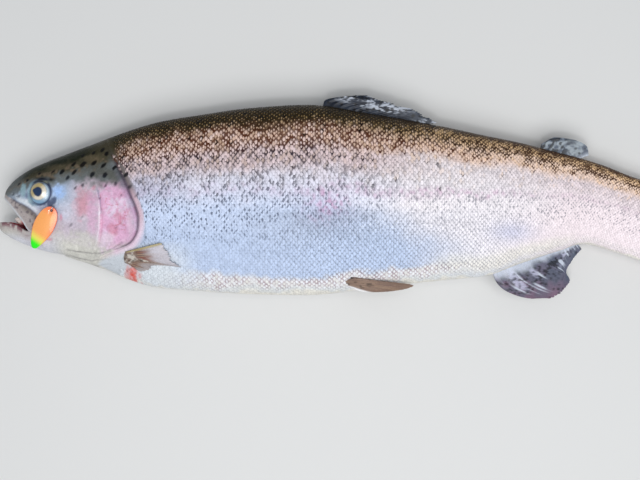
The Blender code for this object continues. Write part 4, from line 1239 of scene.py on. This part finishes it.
def make_fin(name, root, edge, rays, paint, look, side=1, bow=1.0, half=(1.6, 0.28), fray=0.04,
             wave=0.5, lead=0.0, ridged=1.0):
    """A fin of ridged rays and thin membrane, its free edge frayed between the rays.

    lead is the share of the edge that is the fin's front, along which its first ray runs.
    """
    columns = rays * RAY_COLUMNS + 1
    a = np.linspace(0, 1, columns)[None, :]
    t = column(0, 1, FIN_ROWS)
    at_root, at_edge = path_through(root)(a[0]), path_through(edge)(lead + (1 - lead) * a[0])
    ray = a * rays
    split = ramp(0.35, 0.6, t)
    finer = ramp(0.68, 0.85, t)
    main_ray, half_ray, quarter = (np.abs((ray * parts % 1) - 0.5) * 2 for parts in (1, 2, 4))
    ridge = (1 - main_ray) * (1 - split) + (1 - half_ray) * split * (1 - finer)
    ridge = ramp(0.25, 0.75, np.clip(ridge + (1 - quarter) * finer, 0, 1)) * ridged
    seed = 100 + 7 * len(name)
    torn = hashed(np.floor(ray[0]), seed=seed) + clouds(ray[0] * 0.8, seed=seed)
    ragged = 1 - fray * (torn + 0.5 * (1 - ramp(0.0, 0.5, 1 - half_ray[0])))
    out = t * ragged[None, :]
    bowed = np.stack([out, out, out**bow], -1)
    mid = at_root[None] + (at_edge - at_root)[None] * bowed
    if lead:
        front = path_through((root[0], *edge))(ragged[0] * t[:, 0] * lead * 1.04)
        front[:, 2] = mid[:, 0, 2]
        straight = at_root[0] + (at_edge[0] - at_root[0]) * out[:, :1]
        straight[:, 2] = mid[:, 0, 2]
        mid = mid + (front - straight)[:, None] * ((1 - a[0]) ** 2)[None, :, None]
    sway = wave * out**1.5 * np.sin(2 * pi * (1.3 * a + 0.35 * len(name) + 0.3 * out))
    sway = sway + 0.35 * wave * out * (clouds(ray * 0.5, out * 3, seed=seed) - 0.5)
    s, h, w = mid[..., 0], mid[..., 1], mid[..., 2] + sway
    centre = place(s, h, side * w, floor=0.35)
    across = np.cross(np.gradient(centre, axis=0), np.gradient(centre, axis=1))
    length = np.linalg.norm(across, axis=2, keepdims=True)
    normal = across / np.maximum(length, 1e-12)
    thick = half[1] + (half[0] - half[1]) * (1 - t) ** 3
    thick = thick * (1 - 0.55 * (1 - ridge) * ramp(0.08, 0.3, t)) * (1 - 0.6 * ramp(0.9, 1.0, t))
    offset = normal * (thick[..., None] * MM)
    front, back = centre + offset, centre - offset
    ring = np.concatenate([front, back[:, ::-1]], axis=1)
    ring[..., 2] = np.maximum(ring[..., 2], 0.0)
    faces = grid_faces(FIN_ROWS, 2 * columns, wrap=True)
    near = (FIN_ROWS - 1) * 2 * columns + np.arange(columns - 1)
    far = near[::-1] + columns + 1
    cap = np.stack([far, far - 1, near + 1, near], -1)
    colour = paint(s, h, w, np.broadcast_to(t, s.shape), np.broadcast_to(a, s.shape), ridge)
    both = np.concatenate([colour, colour[:, ::-1]], axis=1)
    piece = new_piece(name, ring, np.concatenate([faces, cap]), look, both)
    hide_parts(name.replace("_looks", ""))


def dorsal_paint(s, h, w, t, a, ridge):
    """Navy, with pale streaks of painted reflection along the folded rays, and ink spots."""
    colour = mix(NAVY, SLATE, 0.45 * clouds(a * 12, t * 5, seed=72))
    # painted reflection: pale wet sheen in streaks along the folded rays
    pale_streaks = 0.5 * clouds(a * 16, t * 9 + a * 4, seed=71) + 0.5 * clouds(a * 34, t * 26, seed=70)
    upper = np.maximum(ramp(0.3, 0.6, t) * ramp(0.75, 0.5, a), ramp(0.8, 0.95, a))
    colour = mix(colour, WET_WHITE, 0.7 * ramp(0.46, 0.68, pale_streaks) * upper)
    return mix(colour, INK, 0.85 * dots(s, h, 4.4, 0.6, 73))


def adipose_paint(s, h, w, t, a, ridge):
    """Grey wisps and dark blotches, olive at the root, with a pale rear rim."""
    wisps = 0.6 * clouds(s - 0.6 * h, h, size=2.6, seed=74) + 0.4 * clouds(s, h, size=1.1, seed=88)
    colour = mix(SLATE, ADIPOSE_GREY, ramp(0.25, 0.75, wisps))
    colour = mix(colour, OLIVE, 0.75 * ramp(0.34, 0.1, t))
    dark = ramp(0.55, 0.68, clouds(s - 0.5 * h, h, size=2.6, seed=75)) * ramp(1.2, 0.7, a + 0.4 * t)
    dark = np.maximum(0.8 * dark, 0.7 * dots(s, h, 2.8, 0.35, 93))
    return mix(mix(colour, INK, dark), WET_WHITE, 0.5 * ramp(0.9, 1.0, a))


def anal_paint(s, h, w, t, a, ridge):
    """Plum to grey, with pale streaks along the rays and a pale fleshy base."""
    colour = mix(PLUM, ANAL_GREY, ramp(0.0, 0.6, a))
    colour = mix(colour, SLATE, 0.6 * ramp(0.3, 0.7, clouds(s, h, size=4, seed=83)))
    pale_streaks = clouds(a * 11 + t, t * 2.6, seed=98)
    colour = mix(colour, PALE_VIOLET, 0.6 * ramp(0.5, 0.68, pale_streaks) * ramp(0.8, 0.5, t))
    streak = ramp(0.58, 0.7, clouds(a * 64, t * 1.5, seed=99)) * ramp(0.1, 0.3, t)
    streak = streak * ramp(0.3, 0.5, pale_streaks + 0.2 * (clouds(a * 30, t * 9, seed=95) - 0.5))
    colour = mix(colour, WET_WHITE, 0.8 * streak * ramp(0.92, 0.66, t))
    colour = mix(colour, ROSE_RED, 0.1 * ramp(0.6, 1.0, t) * ramp(0.5, 0.2, a))
    spots = ramp(0.63, 0.7, clouds(s, h, size=1.4, seed=77)) * ramp(0.85, 0.5, t)
    colour = mix(colour, INK, 0.75 * np.maximum(spots * (1 - streak), dots(s, h, 3.2, 0.3, 92)))
    fleshy = 0.05 * ramp(0.0, 0.2, a) + 0.26 * ramp(0.45, 0.95, a)
    from_base = t - fleshy + 0.1 * clouds(a * 20, seed=84)
    return mix(colour, WET_WHITE, 0.75 * ramp(0.34, 0.16, from_base))


def pectoral_paint(s, h, w, t, a, ridge):
    """Brown rays on a worn pale membrane; the fleshy base is mottled, the upper ray yellow."""
    colour = mix(FIN_TAN, FIN_BROWN, ridge * (1 - 0.5 * t) + 0.3 * clouds(a * 18, t * 4, seed=78))
    colour = mix(colour, WET_WHITE, 0.3 * ramp(0.6, 1.0, t + 0.3 * clouds(a * 30, seed=85)))
    veil = ramp(0.4, 0.75, t + 0.2 * (a - 0.5)) * ramp(0.5, 0.66, a + 0.1 * clouds(t * 5, seed=96))
    colour = mix(colour, LILAC, 0.6 * veil * (0.5 + 0.5 * clouds(a * 22, t * 7, seed=97)))
    red = ramp(0.3, 0.6, clouds(a * 14, t * 3, seed=79)) * ramp(0.12, 0.25, t) * ramp(0.66, 0.42, t)
    colour = mix(colour, FIN_RED, 0.85 * red * (0.15 + 0.85 * bump(a - 0.72, 0.14)))
    flesh = 0.6 * clouds(s, h, size=2.4, seed=86) + 0.4 * clouds(s, h, size=1.0, seed=87)
    base = mix(mix(FIN_TAN, SLATE, 0.4), CREAM, 0.6 * ramp(0.42, 0.66, flesh))
    base = mix(base, INK, 0.6 * ramp(0.6, 0.75, clouds(s, h, size=1.3, seed=80)))
    reach = t - 0.34 * bump(a - 0.46, 0.13) + 0.12 * (flesh - 0.5)
    colour = mix(colour, base, 0.85 * ramp(0.34, 0.18, reach))
    return mix(colour, RAY_YELLOW, 0.85 * ramp(0.9 + 0.05 * t, 0.95 + 0.03 * t, a))


def pelvic_paint(s, h, w, t, a, ridge):
    """Brown with dark specks and a white front edge."""
    colour = mix(FIN_BROWN, FIN_TAN, 0.4 * ridge + 0.5 * clouds(a * 20, t * 3, seed=78))
    specks = ramp(0.62, 0.72, clouds(s, h, size=1.4, seed=80)) * ramp(0.7, 0.3, t)
    colour = mix(colour, INK, 0.6 * specks)
    return mix(colour, WHITE, 0.85 * ramp(0.12, 0.04, a))


def caudal_paint(s, h, w, t, a, ridge):
    """Grey rays out of the pearly tail root, with rows of small ink spots."""
    colour = mix(mix(FIN_TAN, SLATE, ramp(0.1, 0.7, t)), SLATE, 0.4 * (1 - ridge))
    colour = mix(colour, BRONZE, 0.45 * ridge * (1 - t))
    colour = mix(colour, INK, 0.85 * dots(s + 0.2 * h, h, 5.6, 0.62, 81) * ramp(0.98, 0.9, t))
    colour = mix(colour, BLUSH, 0.15 * clouds(s, h, size=15, seed=82))
    edge = t + 0.1 * (a - 0.5) ** 2 + 0.16 * (clouds(a * 38, t * 4, seed=90) - 0.5)
    body = flank_paint(np.minimum(s, BODY_END - 4), h * 0.94, w)
    return mix(colour, body, ramp(0.34, 0.16, edge))


def tail_fin_edge():
    """The tail fin's free edge: round tips and a shallow fork."""
    across = np.linspace(1, -1, 41)
    fork = TAIL_FORK * (1 - np.abs(across) ** 1.6)
    s = STANDARD_LENGTH + TAIL_FIN_LENGTH - fork - 9.0 * np.abs(across) ** 12
    return np.stack([s, TAIL_SPREAD * across, np.full(41, -TAIL_SAG)], -1)


def make_fins(look):
    """The fins, each a piece that stands for its own node."""
    root = [(BODY_END - 14, (TAIL_ROOT_DEPTH - 3) * side, 0.0) for side in (1, 0.5, 0, -0.5, -1)]
    make_fin("caudal_fin_looks", root, tail_fin_edge(), 19, caudal_paint, look,
             bow=1.8, half=(3.0, 0.3), fray=0.02, wave=0.8)
    make_fin("dorsal_fin_looks", DORSAL_ROOT, DORSAL_EDGE, 13, dorsal_paint, look,
             half=(1.7, 0.32), fray=0.08, lead=0.4)
    make_fin("adipose_fin_looks", ADIPOSE_ROOT, ADIPOSE_EDGE, 9, adipose_paint, look,
             half=(1.7, 0.55), fray=0.0, wave=0.2, ridged=0.0)
    make_fin("anal_fin_looks", ANAL_ROOT, ANAL_EDGE, 12, anal_paint, look,
             half=(1.4, 0.3), fray=0.03, lead=0.41)
    for name, side in SIDES:
        make_fin(f"pelvic_fin_{name}_looks", PELVIC_ROOT, PELVIC_EDGE, 10, pelvic_paint, look,
                 side, half=(1.0, 0.28), fray=0.015, lead=0.2)
        make_fin(f"pectoral_fin_{name}_looks", PECTORAL_ROOT, PECTORAL_EDGE, 13, pectoral_paint,
                 look, side, bow=0.42, half=(1.0, 0.26), fray=0.07, lead=0.15)


# ---------------------------------------------------------------- eyes, tongue and lure
def ball_grid(rings, around):
    """Points over a ball of radius 1, ring by ring from the pole on its third axis."""
    polar, turn = column(0.001, pi, rings), turns(around)
    return np.sin(polar) * np.cos(turn), np.sin(polar) * np.sin(turn), np.cos(polar) + 0 * turn


def make_eye(name, side, look):
    """A flattened ball, its pupil a little ahead of and above the middle."""
    x, y, z = ball_grid(*EYE_GRID)
    x, y = EYE_RADIUS * x, EYE_RADIUS * y
    pupil = np.hypot(x - PUPIL_AT[0], y - PUPIL_AT[1])
    lens = 0.35 * ramp(5.6, 3.0, pupil)
    z = (EYE_HALF_DEPTH + lens) * z * side
    angle = radians(side * EYE_TURN)
    s, h = EYE
    middle = place(s, h, side * (flank(s, h) + EYE_PROUD - EYE_HALF_DEPTH))
    turned = np.stack([x * cos(angle) + z * sin(angle), y, -x * sin(angle) + z * cos(angle)], -1)
    faces = grid_faces(*EYE_GRID, wrap=True)
    if side > 0:
        faces = faces[:, ::-1]
    eye = new_piece(f"{name}_looks", middle + turned * MM, faces, look, eye_paint(x, y, pupil))
    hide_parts(name)


def eye_paint(x, y, pupil):
    """Navy pupil, drawn to a point at its front and tinted by painted sky reflection, in a cream
    and gold iris; painted shade on the white.
    """
    front = np.arctan2(y - PUPIL_AT[1], -(x - PUPIL_AT[0]))
    edge = PUPIL_RADIUS * (0.96 + 0.3 * bump(front - 0.25, 0.35) + 0.12 * bump(front + 1.8, 0.4))
    grain = clouds(np.arctan2(y, x) * 9, pupil * 1.2, seed=91)
    slant = 0.7 * (x - y) + 1.2 * (grain - 0.5)
    iris = mix(IRIS_GOLD, IRIS_CREAM, ramp(-2.6, 1.4, slant))
    ragged = 0.5 * (grain - 0.5)
    # painted shade on the eye's white: bluer low down and to the left, dark at the upper left under
    # the socket's rim, and dark round its edge where it meets the socket
    colour = mix(EYE_WHITE, EYE_SHADE_BLUE, ramp(-1.0, -6.0, y + 0.4 * x))
    colour = mix(colour, SOCKET_DARK, 0.92 * ramp(1.0, -3.0, slant))
    rim = mix(SOCKET, SOCKET_DARK, ramp(-2.0, -5.0, slant))
    colour = mix(colour, rim, ramp(6.7, 7.7, np.hypot(x, y)))
    colour = mix(colour, LID, 0.5 * bump(pupil - 5.6, 0.4))
    colour = mix(colour, iris, ramp(5.9, 5.3, pupil + ragged))
    colour = mix(colour, SOCKET_DARK, 0.7 * bump(pupil - edge - 0.1, 0.3))
    # the pupil, dark with a blue tint of painted sky reflection
    return mix(colour, PUPIL_AND_SKY_REFLECTION, ramp(edge + 0.2, edge - 0.25, pupil))


def make_tongue(look):
    """A lumpy ball, pale at its tip and bloody towards the throat."""
    middle, radii, tilt = TONGUE
    y, z, x = ball_grid(*TONGUE_GRID)
    unit = np.stack([x, y, z], -1)
    lumps = 0.93 + 0.12 * clouds(*(unit * 3).transpose(2, 0, 1), seed=92)
    local = unit * np.array(radii) * lumps[..., None]
    a = radians(tilt)
    x = local[..., 0] * cos(a) - local[..., 1] * sin(a)
    y = local[..., 0] * sin(a) + local[..., 1] * cos(a)
    points = place(*middle) + np.stack([x, y, local[..., 2]], -1) * MM
    colour = mix(TONGUE_PALE, MOUTH, ramp(-3.5, -0.5, x - 0.5 * y) * 0.9)
    colour = mix(colour, BLOOD, 0.9 * ramp(-1.5, 1.0, x - 0.5 * y))
    faces = grid_faces(*TONGUE_GRID, wrap=True)
    tongue = new_piece("tongue_looks", points, faces, look, colour)
    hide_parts("tongue")


def lure_frame():
    """The blade's own axes in the frame: x along it to its hole, z away from the cheek."""
    s, h = LURE_MIDDLE
    turn = Matrix.Rotation(radians(LURE_HEADING), 4, "Z")
    tilt = Matrix.Rotation(radians(LURE_TILT), 4, "Y")
    middle = place(s, h, flank(s, h) + LURE_CLEARANCE)
    return np.array(Matrix.Translation(middle) @ turn @ tilt)


def framed(points):
    """Points in the lure's own measures as points of the frame."""
    frame = lure_frame()
    return points @ frame[:3, :3].T * MM + frame[:3, 3]


def make_spoon(look):
    """The cupped blade, painted orange to yellow to green, with its hole at the upper end."""
    half_length, half_width = LURE_LENGTH / 2, LURE_WIDTH / 2
    share, turn = column(0, 1, SPOON_GRID[0]), turns(SPOON_GRID[1])
    along_rim = np.cos(turn)
    width = (1 + 0.08 * along_rim) * np.maximum(1 - np.abs(along_rim) ** 2.4, 0.0) ** 0.5
    width = width * (1 - 0.26 * ramp(0.1, -0.9, along_rim))
    rim = np.stack([along_rim * half_length, np.sign(np.sin(turn)) * width * half_width], -1)
    hole = np.stack([LURE_HOLE_AT + LURE_HOLE * np.cos(turn), LURE_HOLE * np.sin(turn)], -1)
    flat = hole + (rim - hole) * (share**0.8)[..., None]
    x, y = flat[..., 0], flat[..., 1]
    z = LURE_CUP * (1 - (x / half_length) ** 2 - 0.5 * (y / half_width) ** 2)
    thinned = (1 - 0.55 * ramp(0.93, 1.0, share)) * (1 - 0.5 * ramp(0.06, 0, share))
    half = LURE_THICKNESS / 2 * thinned
    top, under = (np.stack([x, y, z + side * half], -1) for side in (1, -1))
    loop = np.concatenate([top, under[::-1], top[:1]])
    u, v = loop[..., 0] / half_length, loop[..., 1] / half_width
    edge = np.concatenate([share, share[::-1], share[:1]]) + 0 * turn
    below = np.repeat((0.0, 1.0, 0.0), (len(share), len(share), 1))[:, None] + 0 * turn
    colour = mix(LURE_GREEN, LURE_YELLOW, ramp(-0.78, -0.48, u - 0.06 * v))
    colour = mix(colour, LURE_ORANGE, ramp(-0.56, -0.2, u - 0.06 * v))
    reddened = 0.75 * ramp(0.55, 0.98, u) + 0.8 * ramp(0.93, 1.0, edge) * ramp(-0.9, -0.5, u)
    colour = mix(colour, LURE_RED, reddened)
    colour = mix(colour, LURE_RED, 0.6 * ramp(-0.45, -0.95, v) * ramp(-0.6, 0.2, u))
    colour = np.clip(mix(colour, LURE_RED, below), 0, 1)
    faces = grid_faces(len(loop), SPOON_GRID[1], wrap=True)
    spoon = new_piece("lure_blade_looks", framed(loop), faces, look, colour)
    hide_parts("lure_blade")


def tube(name, line, radius, look):
    """Round steel wire along a line of points in the lure's own measures; radius may vary."""
    line = np.asarray(line, float)
    ahead = np.gradient(line, axis=0)
    ahead /= np.linalg.norm(ahead, axis=1)[:, None]
    first = np.cross(ahead, np.array([0.31, 0.22, 0.92]))
    first /= np.linalg.norm(first, axis=1)[:, None]
    second = np.cross(ahead, first)
    turn = turns(WIRE_SIDES)[..., None]
    ring = first[:, None] * np.cos(turn) + second[:, None] * np.sin(turn)
    reach = np.broadcast_to(radius, (len(line),))[:, None, None]
    points = framed(line[:, None] + ring * reach)
    faces = grid_faces(len(line), WIRE_SIDES, wrap=True)
    return new_piece(name, points, faces, look, np.broadcast_to(STEEL, points.shape))


def make_tackle(look):
    """The split ring through the spoon's hole, and the hook that hangs from it."""
    ring_at = np.array([LURE_HOLE_AT + RING_RADIUS, 0.0, 0.0])
    a = np.linspace(0, 4 * pi, 96)
    coil = np.stack([RING_RADIUS * np.cos(a), (a / (4 * pi) - 0.5) * WIRE_RADIUS * 1.1,
                     RING_RADIUS * np.sin(a)], -1)
    ring = tube("lure_ring_looks", ring_at + coil, WIRE_RADIUS * 0.62, look)
    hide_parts("lure_ring")
    hook_line = hook_path(ring_at)
    taper = np.ones(len(hook_line))
    taper[-8:] = np.linspace(1.0, 0.15, 8)
    hook = tube("lure_hook_looks", hook_line, WIRE_RADIUS * taper, look)
    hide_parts("lure_hook")


def hook_path(ring_at):
    """The hook's wire: its eye, shank, bend and point."""
    down = np.array([-cos(HOOK_HANG), 0, -sin(HOOK_HANG)])
    across = np.array([0.0, 1.0, 0.0])
    eye = ring_at + RING_RADIUS * down
    line = []
    for a in np.radians(np.linspace(38, 322, 30)):
        line.append(eye + HOOK_EYE * (cos(a) * down + sin(a) * across))
    start = eye + (HOOK_EYE + 0.7) * down
    end = start + np.array([-HOOK_SHANK, 0, -0.3])
    line += [start + (end - start) * share for share in np.linspace(0, 0.94, 16)]
    for a in np.linspace(0, pi, 24):
        line.append(end + HOOK_BEND * np.array([-sin(a), 0, cos(a) - 1]))
    tip = line[-1]
    line += [tip + np.array([HOOK_POINT, 0, 0.8]) * share for share in np.linspace(0.1, 1, 9)]
    return line


# ---------------------------------------------------------------- the studio
def make_floor():
    """A plain pale floor."""
    made = bpy.data.materials.new("studio_floor")
    made.use_nodes = True
    shader = made.node_tree.nodes["Principled BSDF"]
    shader.inputs["Base Color"].default_value = (0.72, 0.72, 0.71, 1)
    shader.inputs["Roughness"].default_value = 0.9
    points = [(-6, -6, 0), (6, -6, 0), (6, 6, 0), (-6, 6, 0)]
    mesh = bpy.data.meshes.new("floor")
    mesh.from_pydata(points, [], [(0, 1, 2, 3)])
    mesh.materials.append(made)
    floor = linked("floor", mesh)
    floor.location.z = -0.0002


def make_lights():
    """A soft key light, a small glint and a pale sky."""
    for name, at, size, power in LAMPS:
        lamp = bpy.data.lights.new(name, "AREA")
        lamp.shape = "DISK"
        lamp.size = size
        lamp.energy = power
        obj = linked(name, lamp)
        obj.location = at
        obj.rotation_euler = (-Vector(at)).to_track_quat("-Z", "Y").to_euler()
    world = bpy.data.worlds.new("studio")
    world.use_nodes = True
    sky = world.node_tree.nodes["Background"]
    sky.inputs["Color"].default_value = (0.86, 0.92, 1.0, 1)
    sky.inputs["Strength"].default_value = SKY_STRENGTH
    bpy.context.scene.world = world
    bpy.context.scene.view_settings.view_transform = "Standard"


def make_camera():
    """A camera straight above the fish."""
    camera = bpy.data.cameras.new("camera")
    camera.sensor_width = 36
    camera.lens = 36 * VIEW_DISTANCE / VIEW_WIDTH
    camera.clip_start = 0.01
    seat = linked("camera", camera)
    seat.location = place(*VIEW_MIDDLE, 0.0)
    seat.location.z = (VIEW_LEVEL + VIEW_DISTANCE) * MM
    bpy.context.scene.camera = seat


def main():
    """The solids, the studio and every piece that stands for them."""
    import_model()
    SHIFT[:] = find_shift()
    make_camera()
    make_lights()
    make_floor()
    looks = {name: material(name, *row) for name, row in LOOKS.items()}
    make_skin(looks["wet_skin"])
    make_scales(looks["scales"])
    make_fins(looks["fin"])
    for name, side in SIDES:
        make_eye(f"eye_{name}", side, looks["eye"])
    make_tongue(looks["wet_flesh"])
    make_spoon(looks["lure_paint"])
    make_tackle(looks["steel"])


main()
